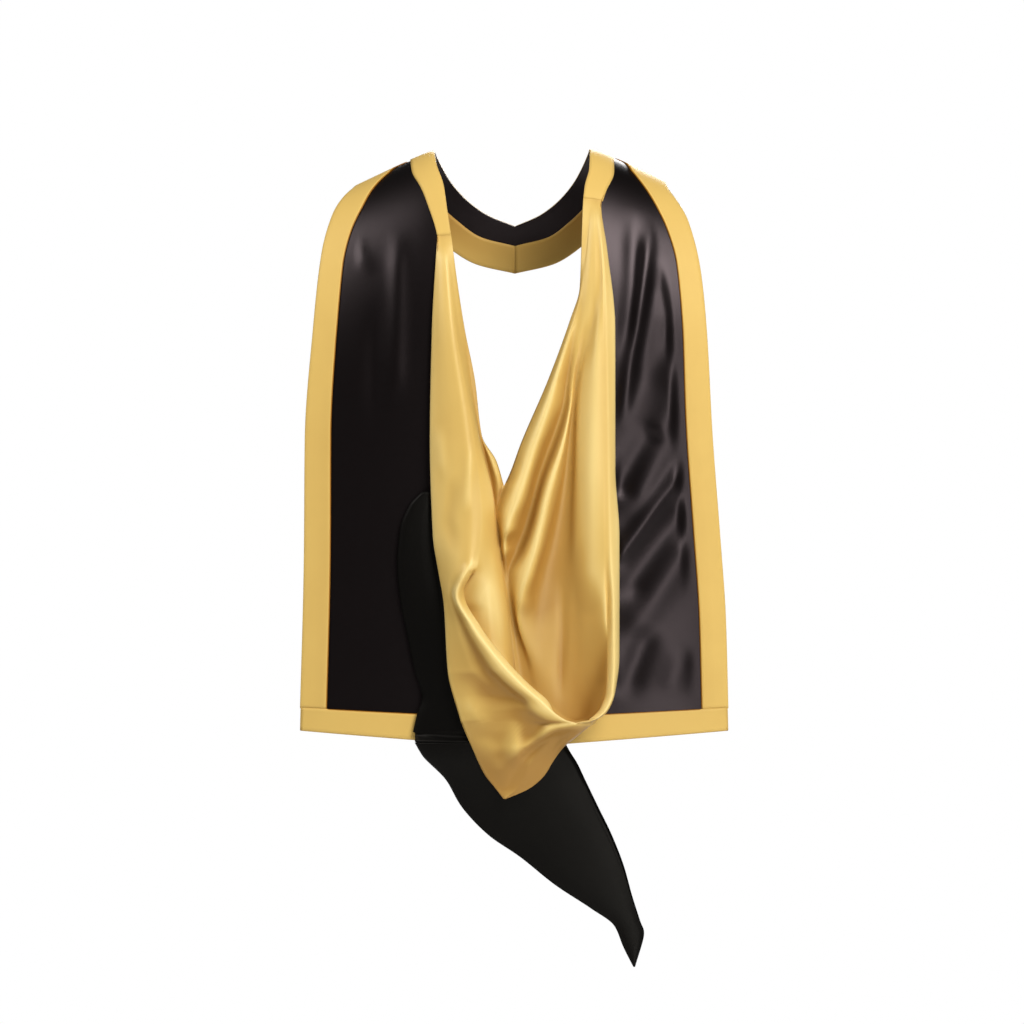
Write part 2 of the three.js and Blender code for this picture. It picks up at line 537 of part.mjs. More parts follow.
// Binding folded round an edge: at each station the cloth runs from the inner line on the
// front, round the edge and back under the cape
function makeBinding(stations) {
  const under = capeWall + seamGap;
  const sections = stations.map(({ inner, edge, innerNormal, edgeNormal }) => {
    const out = new THREE.Vector3().subVectors(edge, inner);
    out.addScaledVector(edgeNormal, -out.dot(edgeNormal)).normalize();
    const at = (base, normal, level, beyond) => base.clone()
      .addScaledVector(normal, level).addScaledVector(out, beyond);
    return [
      at(inner, innerNormal, seamGap + trimWall, 0),
      at(edge, edgeNormal, seamGap + trimWall, seamGap + trimWall),
      at(edge, edgeNormal, -under - trimWall, seamGap + trimWall),
      at(inner, innerNormal, -under - trimWall, 0),
      at(inner, innerNormal, -under, 0),
      at(edge, edgeNormal, -under, seamGap),
      at(edge, edgeNormal, seamGap, seamGap),
      at(inner, innerNormal, seamGap, 0),
    ];
  });
  const caps = [[0, 1, 6, 7], [1, 2, 5, 6], [2, 3, 4, 5]];
  const towardsInner = (i) => i === 2 || i === 6;
  return sweptSections(sections, caps, (s, i) => towardsInner(i) !== Boolean(stations[s].turned));
}

// Closed solid through rings of points, with the given faces closing both ends. otherDiagonal
// says which faces are split the other way, so that they lie true on the cloth below.
function sweptSections(sections, caps, otherDiagonal) {
  const ring = sections[0].length;
  const positions = sections.flat().flatMap((point) => [point.x, point.y, point.z]);
  const indices = [];
  for (let s = 0; s + 1 < sections.length; s += 1) {
    for (let i = 0; i < ring; i += 1) {
      const a = s * ring + i;
      const b = s * ring + ((i + 1) % ring);
      if (otherDiagonal(s, i)) indices.push(a, a + ring, b, b, a + ring, b + ring);
      else indices.push(a, a + ring, b + ring, a, b + ring, b);
    }
  }
  const end = (sections.length - 1) * ring;
  for (const [a, b, c, d] of caps) {
    indices.push(a, b, c, a, c, d);
    indices.push(end + a, end + c, end + b, end + a, end + d, end + c);
  }
  return solid(positions, indices);
}

// Turns every triangle round when a closed solid has come out inside out
function facingOut(geometry) {
  const position = geometry.getAttribute('position');
  const index = geometry.getIndex();
  const [a, b, c] = [new THREE.Vector3(), new THREE.Vector3(), new THREE.Vector3()];
  let volume = 0;
  for (let i = 0; i < index.count; i += 3) {
    a.fromBufferAttribute(position, index.getX(i));
    b.fromBufferAttribute(position, index.getX(i + 1));
    c.fromBufferAttribute(position, index.getX(i + 2));
    volume += a.dot(b.cross(c));
  }
  if (volume < 0) {
    for (let i = 0; i < index.count; i += 3) {
      const first = index.getX(i);
      index.setX(i, index.getX(i + 1));
      index.setX(i + 1, first);
    }
  }
  return geometry;
}

function makeSideBorder(side) {
  const rows = capeRows[side].slice(0, -1);
  const edgeAt = side === 'left' ? 0 : lastColumn;
  const innerAt = side === 'left' ? 1 : lastColumn - 1;
  const stations = rows.map((row) => ({
    inner: row[innerAt].clone(), edge: row[edgeAt].clone(),
    innerNormal: capeNormalAt(row[innerAt]), edgeNormal: capeNormalAt(row[edgeAt]),
  }));
  shorten(stations, 0, 1);
  shorten(stations, stations.length - 1, stations.length - 2);
  return facingOut(makeBinding(stations));
}

// Moves an end station back towards its neighbour by the seam gap
function shorten(stations, end, neighbour) {
  for (const key of ['inner', 'edge']) {
    const length = stations[end][key].distanceTo(stations[neighbour][key]);
    stations[end][key].lerp(stations[neighbour][key], seamGap / length);
  }
}

function makeHemBorder() {
  const upper = [...capeRows.left.at(-2), ...capeRows.right.at(-2).slice(1)];
  const lower = [...capeRows.left.at(-1), ...capeRows.right.at(-1).slice(1)];
  const stations = upper.map((inner, i) => ({
    inner, edge: lower[i], innerNormal: capeNormalAt(inner), edgeNormal: capeNormalAt(lower[i]),
    turned: i < lastColumn,
  }));
  return facingOut(makeBinding(stations));
}

// A point on the cowl from its share of the width and depth off the cape
function cowlPoint(x, depth, drop) {
  return new THREE.Vector3(x, backY(x, -drop) - depth, -drop);
}

function onLine(line, drop) {
  const share = drop / lipDrop;
  return {
    x: cowlHalf * along(line, 'drop', share, 'x'),
    depth: cowlDepth * along(line, 'drop', share, 'depth'),
  };
}

const crease = 0.733;         // share of lipDrop where the lip starts to roll
const creaseEnd = 0.793;      // and where it is fully rolled
const levelStart = 0.955;     // and where it starts to turn level
const pouchNarrowing = 0.2;
const pouchRingShare = 0.6;   // share of pouchBottom where the pouch has narrowed
const nearCape = 3.4;         // height of the lining's free edges above the cape
const edgeTuck = 3;           // how far the band's edge is turned under
const leftLipKnot = 5;
const rightLipKnot = 8;
const shellOnCape = 0.5;      // height of the shell above the cape
const shellOnHem = 1.9;       // and above the thicker hem
const underBand = 4;          // the shell's front wall lies this far below the band's outside
const besideBand = 3.6;       // and this far below the turned edge
const foldRound = 7;          // width of the shell's rounded left fold
const foldAngles = [-45, 0, 45];
const shellBackSteps = 7;
const shellFrontSteps = 5;
const tailTop = 600;          // crest to the seam between shell and tail

// Knots across the left half at a drop, from the band's edge to the valley. roll goes from 0
// above the crease to 1 below it, and upright from 1 to 0 where the lip turns level at the bottom.
function leftKnots(drop) {
  const share = drop / lipDrop;
  const edge = onLine(leftLines.edge, drop);
  const lip = onLine(leftLines.lip, drop);
  const pocket = onLine(leftLines.pocket, drop);
  const roll = smooth(share, crease, creaseEnd);
  const upright = 1 - smooth(share, levelStart, 1);
  const width = lip.x - edge.x;
  const height = lip.depth - edge.depth;
  const outside = bandKnots.map((knot) => ({
    x: lip.x - mix(width * knot.flatBack, Math.min(width * knot.rollBack, lipRadius * knot.reach), roll),
    depth: lip.depth
      - mix(height * knot.flatDown, Math.min(height * knot.rollDown, lipRadius * knot.fall), roll),
  }));
  const inside = innerKnots.map((knot) => ({
    x: mix(
      mix(lip.x, pocket.x, knot.toPocket),
      lip.x + lipRadius * mix(knot.besideBottom, knot.besideLip, upright),
      roll,
    ),
    depth: mix(
      mix(lip.depth, pocket.depth, knot.sink),
      lip.depth - lipRadius * mix(knot.underBottom, knot.underLip, upright),
      roll,
    ),
  }));
  return [
    { x: edge.x + edgeTuck, depth: Math.max(edge.depth - edgeTuck, nearCape) },
    edge,
    ...outside,
    lip,
    ...inside,
    pocket,
    onLine(leftLines.flank, drop),
    drop < vDrop ? { x: neckX('left', drop), depth: nearCape } : onLine(rightLines.valley, drop),
  ];
}

// Knots across the right half, from the valley to the edge behind the right column
function rightKnots(drop) {
  const names = [
    'firstRidge', 'firstValley', 'secondRidge', 'deepFold', 'foot', 'middle', 'back', 'lip', 'edge', 'hem',
  ];
  const start = drop < vDrop ? { x: neckX('right', drop), depth: nearCape } : onLine(rightLines.valley, drop);
  return [start, ...names.map((name) => onLine(rightLines[name], drop))];
}

// Smooth curve through the knots of one section, with the same number of steps between all
function sectionRow(knots, drop) {
  const places = knots.map((knot) => cowlPoint(knot.x, knot.depth, drop));
  const curve = new THREE.CatmullRomCurve3(places, false, 'centripetal');
  const count = (knots.length - 1) * cowlSteps;
  const points = [];
  for (let i = 0; i <= count; i += 1) points.push(curve.getPoint(i / count));
  return points;
}

const leftTop = leftStrapEndDrop + 4;
const rightTop = rightStrapEndDrop + 4;
const upperRows = 8;
const lowerCowlRows = [0.04, 0.1, 0.18, 0.27, 0.36, 0.45, 0.54, 0.63, 0.72, 0.8, 0.87, 0.93, 0.97, 1];

// The lining's rows above and below the neckline's point, for both halves
function liningRows() {
  const left = [];
  const right = [];
  for (let i = 0; i < upperRows; i += 1) {
    const leftDrop = mix(leftTop, vDrop, i / upperRows);
    const rightDrop = mix(rightTop, vDrop, i / upperRows);
    left.push(sectionRow(leftKnots(leftDrop), leftDrop));
    right.push(sectionRow(rightKnots(rightDrop), rightDrop));
  }
  for (const share of lowerCowlRows) {
    const drop = mix(vDrop, lipDrop, share);
    left.push(sectionRow(leftKnots(drop), drop));
    right.push(sectionRow(rightKnots(drop), drop));
  }
  return { left, right };
}

// The turned-out band below the lip, from the row that both lips end in
function bandBelow(topRow) {
  const last = topRow.length - 1;
  const rows = [topRow];
  const [first, end] = [topRow[1], topRow[last]];
  for (const row of bandRows) {
    const drop = lipDrop + row.drop * bandDrop;
    rows.push(topRow.map((point, i) => {
      const share = mix((point.x - first.x) / (end.x - first.x), (i - 1) / (last - 1), row.drop);
      const spread = mix(share, i / last, row.drop);
      const x = cowlHalf * mix(row.left, row.right, spread);
      const rise = spread < row.crestAt
        ? mix(row.edgeDepth, row.crestDepth, Math.sin((Math.max(spread, 0) / row.crestAt) * (Math.PI / 2)))
        : mix(row.crestDepth, row.rightDepth, (spread - row.crestAt) / (1 - row.crestAt));
      const tuck = i === 0 ? edgeTuck * (1 - row.drop) : 0;
      return cowlPoint(x + tuck, cowlDepth * rise - tuck, drop);
    }));
  }
  return rows;
}

// The bottom of the pouch, a ring that narrows and is closed by a fan of faces
function addPouchBottom(sheet, ring) {
  const centre = new THREE.Vector3();
  for (const point of ring.slice(1)) centre.addScaledVector(point, 1 / (ring.length - 1));
  const narrowed = ring.map((point, i) => {
    const moved = point.clone().lerp(centre, pouchNarrowing);
    const nearLip = 1 - clamp(Math.min(i, ring.length - 1 - i) / (2 * cowlSteps), 0, 1);
    moved.y += lipRadius * nearLip;
    moved.z = -lipDrop - pouchBottom * pouchRingShare;
    return moved;
  });
  sheet.addGrid([ring, narrowed]);
  const bottom = centre.clone().setZ(-lipDrop - pouchBottom);
  const mark = sheet.add(bottom);
  const marks = narrowed.map((point) => sheet.add(point));
  for (let i = 0; i + 1 < marks.length; i += 1) sheet.addFace([marks[i], mark, marks[i + 1]]);
}

function makeLining() {
  const { left, right } = liningRows();
  const sheet = new Sheet();
  sheet.addGrid(left);
  sheet.addGrid(right);
  const leftLip = leftLipKnot * cowlSteps;
  const rightLip = rightLipKnot * cowlSteps;
  const leftEnd = left.at(-1);
  const rightEnd = right.at(-1);
  sheet.addGrid(bandBelow([...leftEnd.slice(0, leftLip + 1), ...rightEnd.slice(rightLip + 1)]));
  addPouchBottom(sheet, [...leftEnd.slice(leftLip), ...rightEnd.slice(1, rightLip + 1)]);
  return clothBetween(sheet, -cowlWall, 0);
}

// Depth of the turned-out band's outside at an x on the left of the lip
function bandDepthAt(x, drop) {
  const knots = leftKnots(drop).slice(1, leftLipKnot + 1);
  for (let i = 0; i + 1 < knots.length; i += 1) {
    if (x <= knots[i + 1].x) {
      return mix(knots[i].depth, knots[i + 1].depth, (x - knots[i].x) / (knots[i + 1].x - knots[i].x));
    }
  }
  return knots.at(-1).depth;
}

// One row of the shell, from its right end along the cape to the fold and forward under the band
function shellRow(row) {
  const drop = row.drop * lipDrop;
  const edge = onLine(leftLines.edge, drop);
  const lip = onLine(leftLines.lip, drop);
  const foldX = row.fold * cowlHalf;
  const back = mix(shellOnCape, shellOnHem, smooth(row.drop, 0.9, 0.98));
  const points = [];
  for (let i = 0; i < shellBackSteps; i += 1) {
    const share = i / shellBackSteps;
    points.push(cowlPoint(mix(row.right * cowlHalf, foldX + foldRound, share), back, drop));
  }
  for (const angle of foldAngles) {
    const turn = THREE.MathUtils.degToRad(angle);
    const x = foldX + foldRound * (1 - Math.cos(turn));
    points.push(cowlPoint(x, back + (foldRound / 2) * (1 + Math.sin(turn)), drop));
  }
  const beside = edge.depth - edgeTuck - besideBand;
  const end = Math.max(mix(edge.x, lip.x, row.front), edge.x + 2 * edgeTuck);
  points.push(
    cowlPoint((foldX + foldRound + edge.x) / 2, (back + foldRound + beside) / 2, drop),
    cowlPoint(edge.x + edgeTuck, beside, drop),
    cowlPoint(end, Math.max(bandDepthAt(end, drop) - underBand, beside), drop),
  );
  return points;
}

// One row of the tail's tube: the back wall from right to left, then the front wall back again
function tailRow(row) {
  const points = [];
  const middle = mix(shellOnHem + tailTopDepth / 2, tailRest, smooth(row.flat, 0, 1));
  const half = mix(tailTopDepth, tailThickness, smooth(row.flat, 0, 1)) / 2;
  const steps = shellBackSteps + shellFrontSteps;
  for (let i = 0; i <= steps; i += 1) {
    const onBack = i <= shellBackSteps;
    const share = onBack ? 1 - i / shellBackSteps : (i - shellBackSteps) / shellFrontSteps;
    const bulge = Math.sin(Math.PI * share) ** tailFullness;
    const x = cowlHalf * mix(row.left, row.right, share);
    const drop = tailTop + tailDrop * mix(row.leftDrop, row.rightDrop, share);
    points.push(cowlPoint(x, middle + (onBack ? -half : half) * bulge, drop));
  }
  return points;
}

function makeShell() {
  const rows = shellRows.map(shellRow);
  const seam = tailRow(tailRows[0]);
  seam.pop();
  seam.push(seam.at(-1).clone().lerp(seam[0], 0.7));
  for (const point of seam) point.z += tailSeamGap;
  rows.push(seam);
  const sheet = new Sheet();
  sheet.addGrid(rows);
  return clothBetween(sheet, -cowlWall, 0);
}

function makeTail() {
  const sheet = new Sheet();
  sheet.addGrid(tailRows.map(tailRow));
  return clothBetween(sheet, -cowlWall, 0);
}

const hood = new THREE.Group();
function addPiece(name, geometry, material) {
  const mesh = new THREE.Mesh(geometry, material);
  mesh.name = name;
  hood.add(mesh);
}

addPiece('cape', makeCape(), satinBlack);
addPiece('neckband', makeNeckband(), satinGold);
addPiece('border_left', makeSideBorder('left'), satinGold);
addPiece('border_right', makeSideBorder('right'), satinGold);
addPiece('border_hem', makeHemBorder(), satinGold);
addPiece('cowl_lining', makeLining(), satinGold);
addPiece('cowl_shell', makeShell(), satinBlack);
addPiece('liripipe', makeTail(), satinBlack);

export default hood;
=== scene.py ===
"""Academic hood: black satin cape with gold bindings, a gold lined cowl and a folded tail.

Shapes are worked out in millimetres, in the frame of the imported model, and written to the meshes
in metres. +Z is up, the wearer faces +Y and the hood is seen from -Y.
"""

import logging
import math
from dataclasses import dataclass, field
from enum import Enum
from typing import Callable, Iterable, Sequence

import bmesh
import bpy
from mathutils import Matrix, Vector

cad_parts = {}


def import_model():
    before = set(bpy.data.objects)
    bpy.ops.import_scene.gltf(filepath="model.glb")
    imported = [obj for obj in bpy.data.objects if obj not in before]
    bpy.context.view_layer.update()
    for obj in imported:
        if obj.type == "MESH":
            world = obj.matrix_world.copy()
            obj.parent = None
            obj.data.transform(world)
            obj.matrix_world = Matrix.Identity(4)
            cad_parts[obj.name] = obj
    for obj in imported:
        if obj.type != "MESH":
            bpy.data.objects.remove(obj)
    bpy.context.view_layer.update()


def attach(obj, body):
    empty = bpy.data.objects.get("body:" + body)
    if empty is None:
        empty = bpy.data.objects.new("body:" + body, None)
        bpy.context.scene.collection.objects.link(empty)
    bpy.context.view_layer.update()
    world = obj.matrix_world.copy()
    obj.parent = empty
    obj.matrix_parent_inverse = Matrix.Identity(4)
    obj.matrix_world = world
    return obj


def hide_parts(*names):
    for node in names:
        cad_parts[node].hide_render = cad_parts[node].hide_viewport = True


LOG = logging.getLogger("hood")
MM = 0.001

Colour = tuple[float, float, float]


def mix(a: float, b: float, share: float) -> float:
    """Returns the value a share of the way from a to b."""
    return a + (b - a) * share


def clamp(value: float, low: float = 0.0, high: float = 1.0) -> float:
    """Returns the value kept between low and high."""
    return max(low, min(high, value))


def smooth(value: float, start: float, end: float) -> float:
    """Returns 0 before start and 1 after end, with a soft rise between."""
    share = clamp((value - start) / (end - start))
    return share * share * (3 - 2 * share)


class Table:
    """Rows of named columns that are read smoothly, without overshooting, by the first column."""

    def __init__(self, columns: str, rows: Sequence[Sequence[float]]) -> None:
        """Keeps the rows and works out the slope of each column at each row.

        Args:
            columns: Names of the columns, with spaces between them.
            rows: One value for each column, with the first one rising.
        """
        self.names = columns.split()
        self.rows = [tuple(row) for row in rows]
        self.keys = [row[0] for row in self.rows]
        self.slopes = {name: self._slopes(i) for i, name in enumerate(self.names)}

    def _slopes(self, column: int) -> list[float]:
        """Returns the slope of one column at each row."""
        steps = [
            (after[column] - before[column]) / (after[0] - before[0])
            for before, after in zip(self.rows, self.rows[1:])
        ]
        inner = [0.0 if a * b <= 0 else 2 * a * b / (a + b) for a, b in zip(steps, steps[1:])]
        return [steps[0], *inner, steps[-1]]

    def at(self, name: str, key: float) -> float:
        """Reads one column.

        Args:
            name: The column.
            key: Where to read it, in the first column's measure.

        Returns:
            The smooth value there, or the end row's value beyond the ends.
        """
        column = self.names.index(name)
        if key <= self.keys[0]:
            return self.rows[0][column]
        if key >= self.keys[-1]:
            return self.rows[-1][column]
        i = 0
        while key > self.keys[i + 1]:
            i += 1
        span = self.keys[i + 1] - self.keys[i]
        t = (key - self.keys[i]) / span
        rise = t * t * (3 - 2 * t)
        slopes = self.slopes[name]
        return (
            mix(self.rows[i][column], self.rows[i + 1][column], rise)
            + span * slopes[i] * t * (1 - t) * (1 - t)
            - span * slopes[i + 1] * t * t * (1 - t)
        )


def through(points: Sequence[Vector], steps: Sequence[int]) -> list[Vector]:
    """Draws a smooth curve through points, with a given number of steps between neighbours.

    Args:
        points: The places that the curve passes through.
        steps: The number of steps for each span between two of them.

    Returns:
        The points of the curve, both ends among them.
    """
    ends = [points[0] * 2 - points[1], *points, points[-1] * 2 - points[-2]]
    curve = []
    for i, count in enumerate(steps):
        p0, p1, p2, p3 = ends[i:i + 4]
        gaps = [max((b - a).length ** 0.5, 1e-4) for a, b in ((p0, p1), (p1, p2), (p2, p3))]
        before, here, after = gaps
        t1 = ((p1 - p0) / before - (p2 - p0) / (before + here) + (p2 - p1) / here) * here
        t2 = ((p2 - p1) / here - (p3 - p1) / (here + after) + (p3 - p2) / after) * here
        for k in range(count):
            t = k / count
            curve.append(
                p1 + t1 * t + (p1 * -3 + p2 * 3 - t1 * 2 - t2) * t * t
                + (p1 * 2 - p2 * 2 + t1 + t2) * t * t * t
            )
    curve.append(points[-1].copy())
    return curve


@dataclass(frozen=True)
class Fold:
    """A ridge or hollow that runs over the cloth, in millimetres.

    Attributes:
        line: Places (x, z) along it.
        width: Half its width.
        height: How far it stands towards the viewer, or sinks where negative.
        fade: Share of its length over which it rises and dies away.
    """

    line: tuple[tuple[float, float], ...]
    width: float
    height: float
    fade: float = 0.25

    def lift(self, x: float, z: float) -> float:
        """Returns how far the cloth is lifted at a place."""
        reach = 3 * self.width
        if not (min(p[0] for p in self.line) - reach < x < max(p[0] for p in self.line) + reach):
            return 0.0
        if not (min(p[1] for p in self.line) - reach < z < max(p[1] for p in self.line) + reach):
            return 0.0
        lengths = [math.dist(a, b) for a, b in zip(self.line, self.line[1:])]
        total = sum(lengths)
        best = (1e9, 0.0)
        gone = 0.0
        for (ax, az), (bx, bz), length in zip(self.line, self.line[1:], lengths):
            t = ((x - ax) * (bx - ax) + (z - az) * (bz - az)) / length ** 2
            t = clamp(t)
            away = math.hypot(x - mix(ax, bx, t), z - mix(az, bz, t))
            if away < best[0]:
                best = (away, (gone + t * length) / total)
            gone += length
        away, share = best
        ends = smooth(share, 0, self.fade) * (1 - smooth(share, 1 - self.fade, 1))
        return self.height * ends * math.exp(-(away / self.width) ** 2)


def relief(folds: Iterable[Fold], x: float, z: float) -> float:
    """Returns the sum of several folds at a place."""
    return sum(fold.lift(x, z) for fold in folds)


def map_range(tree: bpy.types.NodeTree, value: bpy.types.NodeSocket, source: tuple[float, float],
              target: tuple[float, float]) -> bpy.types.Node:
    """Adds a node that maps a value from one range onto another.

    Args:
        tree: The nodes it belongs to.
        value: The socket that it reads.
        source: The range of the value.
        target: The range that it becomes.

    Returns:
        The new node.
    """
    node = tree.nodes.new("ShaderNodeMapRange")
    names = ("From Min", "From Max", "To Min", "To Max")
    for name, level in zip(names, (*source, *target)):
        node.inputs[name].default_value = level
    tree.links.new(value, node.inputs["Value"])
    return node


def blend(tree: bpy.types.NodeTree, low: Colour | bpy.types.NodeSocket,
          high: Colour | bpy.types.NodeSocket, share: bpy.types.NodeSocket) -> bpy.types.NodeSocket:
    """Adds a node that blends two colours.

    Args:
        tree: The nodes it belongs to.
        low: The colour, or the socket that gives it, where the share is 0.
        high: The same where the share is 1.
        share: The socket that gives the share.

    Returns:
        The socket of the blended colour.
    """
    node = tree.nodes.new("ShaderNodeMix")
    node.data_type = "RGBA"
    for name, colour in (("A", low), ("B", high)):
        if isinstance(colour, tuple):
            node.inputs[name].default_value = (*colour, 1)
        else:
            tree.links.new(colour, node.inputs[name])
    tree.links.new(share, node.inputs["Factor"])
    return node.outputs["Result"]


class Side(Enum):
    """The half of the hood, as it is seen from behind."""

    LEFT = -1
    RIGHT = 1


class Slot(Enum):
    """The model's material slots."""

    BLACK = "black_satin"
    GOLD = "gold_satin"


@dataclass(frozen=True)
class Satin:
    """A satin finish: smooth long floats that shine, with painted shade in the hollows of the folds and a
    painted highlight on their crests.

    Attributes:
        name: The material's name.
        colour: Linear colour of the cloth.
        dark: Linear colour of the painted shade in the hollows, and of the dark line at the seams.
        light: Linear colour of the painted highlight on the crests of the folds.
        roughness: Spread of the shine.
        shine: Level of the shine.
        sheen: Weight of the soft light at grazing angles.
        tint: Colour of the shine and of that soft light.
        tone: How far the colour wanders over the cloth, as a share.
        seam: Width of the dark line at the edge where UV x starts, in metres; it is partly a seam line
            and partly painted shade where the binding meets the cape.
        depth: How far the painted shade deepens the colour in the hollows of the folds, as a share.
        hollows: Values of the hollow attribute between which the painted shade deepens the colour.
        crests: The values between which the painted highlight pales the colour, the palest first.
        spots: How fine the wandering of the colour is.
        threads: Threads in each metre, along UV x, along UV y and across.
        gloss: How far the spread of the shine changes along a float, down and up.
    """

    name: str
    colour: Colour
    dark: Colour
    light: Colour
    roughness: float
    shine: float
    sheen: float
    tint: Colour
    tone: float = 0.06
    seam: float = 0.0
    depth: float = 0.75
    hollows: tuple[float, float] = (0.45, 1.0)
    crests: tuple[float, float] = (0.15, 0.46)
    spots: float = 14
    threads: tuple[float, float, float] = (2600, 260, 1)
    gloss: tuple[float, float] = (-0.04, 0.05)

    def make(self) -> bpy.types.Material:
        """Builds the material's nodes.

        Returns:
            The new material.
        """
        material = bpy.data.materials.new(self.name)
        material.use_nodes = True
        tree = material.node_tree
        shader = tree.nodes["Principled BSDF"]
        shader.inputs["IOR"].default_value = 1.5
        shader.inputs["Specular IOR Level"].default_value = self.shine
        shader.inputs["Specular Tint"].default_value = (*self.tint, 1)
        shader.inputs["Sheen Weight"].default_value = self.sheen
        shader.inputs["Sheen Roughness"].default_value = 0.45
        shader.inputs["Sheen Tint"].default_value = (*self.tint, 1)
        uv = tree.nodes.new("ShaderNodeUVMap")
        uv.uv_map = "cloth"
        self._colour(tree, uv, shader.inputs["Base Color"])
        self._weave(tree, uv, shader)
        return material

    def _colour(self, tree: bpy.types.NodeTree, uv: bpy.types.Node,
                target: bpy.types.NodeSocket) -> None:
        """Makes the colour, which wanders at random, is deepened by painted shade in hollows and paled by
        a painted highlight on crests.

        Args:
            tree: The material's nodes.
            uv: The node that reads the UV map.
            target: The socket that takes the colour.
        """
        place = tree.nodes.new("ShaderNodeTexCoord")
        wander = tree.nodes.new("ShaderNodeTexNoise")
        wander.inputs["Scale"].default_value = self.spots
        wander.inputs["Detail"].default_value = 3
        tree.links.new(place.outputs["Object"], wander.inputs["Vector"])
        # The hollow attribute carries painted light: high values are painted shade, low values a painted
        # highlight.
        hollow = tree.nodes.new("ShaderNodeAttribute")
        hollow.attribute_name = "hollow"
        sink = hollow.outputs["Fac"]
        even = map_range(tree, wander.outputs["Fac"], (0.25, 0.75), (1 - 2 * self.tone, 1))
        # Painted shade: the colour deepens towards the shade colour where the attribute is high.
        sunk = map_range(tree, sink, self.hollows, (1, 1 - self.depth))
        both = tree.nodes.new("ShaderNodeMath")
        both.operation = "MULTIPLY"
        tree.links.new(even.outputs["Result"], both.inputs[0])
        tree.links.new(sunk.outputs["Result"], both.inputs[1])
        colour = blend(tree, self.dark, self.colour, both.outputs["Value"])
        # Painted highlight: the colour pales towards the highlight colour on the crests.
        painted_highlight = map_range(tree, sink, self.crests, (1, 0))
        colour = blend(tree, colour, self.light, painted_highlight.outputs["Result"])
        # Dark line at the seam, partly painted shade where the binding meets the cape.
        if self.seam > 0:
            split = tree.nodes.new("ShaderNodeSeparateXYZ")
            tree.links.new(uv.outputs["UV"], split.inputs["Vector"])
            near = map_range(tree, split.outputs["X"], (self.seam * 0.4, self.seam), (0, 1))
            near.interpolation_type = "SMOOTHSTEP"
            colour = blend(tree, self.dark, colour, near.outputs["Result"])
        tree.links.new(colour, target)

    def _weave(self, tree: bpy.types.NodeTree, uv: bpy.types.Node, shader: bpy.types.Node) -> None:
        """Makes the weave's long floats, in the spread of the shine and as a fine relief.

        Args:
            tree: The material's nodes.
            uv: The node that reads the UV map.
            shader: The shader that takes them.
        """
        threads = tree.nodes.new("ShaderNodeMapping")
        threads.inputs["Scale"].default_value = self.threads
        tree.links.new(uv.outputs["UV"], threads.inputs["Vector"])
        floats = tree.nodes.new("ShaderNodeTexNoise")
        floats.inputs["Scale"].default_value = 1
        floats.inputs["Detail"].default_value = 2
        tree.links.new(threads.outputs["Vector"], floats.inputs["Vector"])
        low, high = (self.roughness + change for change in self.gloss)
        gloss = map_range(tree, floats.outputs["Fac"], (0, 1), (low, high))
        tree.links.new(gloss.outputs["Result"], shader.inputs["Roughness"])
        bump = tree.nodes.new("ShaderNodeBump")
        bump.inputs["Strength"].default_value = 0.12
        bump.inputs["Distance"].default_value = 0.0002
        tree.links.new(floats.outputs["Fac"], bump.inputs["Height"])
        tree.links.new(bump.outputs["Normal"], shader.inputs["Normal"])


@dataclass(frozen=True)
class Finishes:
    """The finishes of the hood, made once."""

    black: bpy.types.Material
    # A darker, duller copy of the black satin: painted shade for the shell and the tail.
    black_reverse: bpy.types.Material
    gold: bpy.types.Material
    gold_trim: bpy.types.Material
    gold_edge: bpy.types.Material

    @classmethod
    def make(cls) -> "Finishes":
        """Returns all finishes."""
        # Painted shade colour for the gold's hollows and the sides that face down.
        gold_shade = (0.34, 0.135, 0.012)
        gold = (0.76, 0.505, 0.14)
        # Painted highlight colour for the gold's crests.
        pale = (0.88, 0.65, 0.24)
        # Colour of the lining's cut edges, painted shade along them.
        edge_shade = (0.42, 0.17, 0.03)
        tint = (1.0, 0.9, 0.62)
        black = (0.0022, 0.0015, 0.0014)
        # Painted shade colour for the black satin's hollows.
        black_shade = (0.0012, 0.0008, 0.0008)
        # Darker black for that copy, painted shade, and its painted shade colour for the hollows.
        shaded_black = (0.0016, 0.0013, 0.0011)
        shaded_black_hollow_shade = (0.0009, 0.0007, 0.0006)
        return cls(
            black=Satin("black_satin", black, black_shade, black, 0.34, 0.4, 0.0, (1.0, 0.8, 0.82),
                        tone=0.2, depth=0.3).make(),
            # The shell and tail get a darker, duller copy of the black satin: painted shade.
            black_reverse=Satin("black_satin_reverse", shaded_black, shaded_black_hollow_shade, shaded_black, 0.46, 0.14, 0.0,
                                (1.0, 0.95, 0.85), tone=0.2, depth=0.3).make(),
            gold=Satin("gold_satin", gold, gold_shade, pale, 0.4, 0.65, 0.0, tint).make(),
            gold_trim=Satin("gold_trim", gold, gold_shade, gold, 0.42, 0.2, 0.0, tint, seam=0.0012).make(),
            # The lining's cut edges: painted shade along the rims.
            gold_edge=Satin("gold_cut_edge", edge_shade, gold_shade, edge_shade, 0.6, 0.3, 0.05, tint).make(),
        )


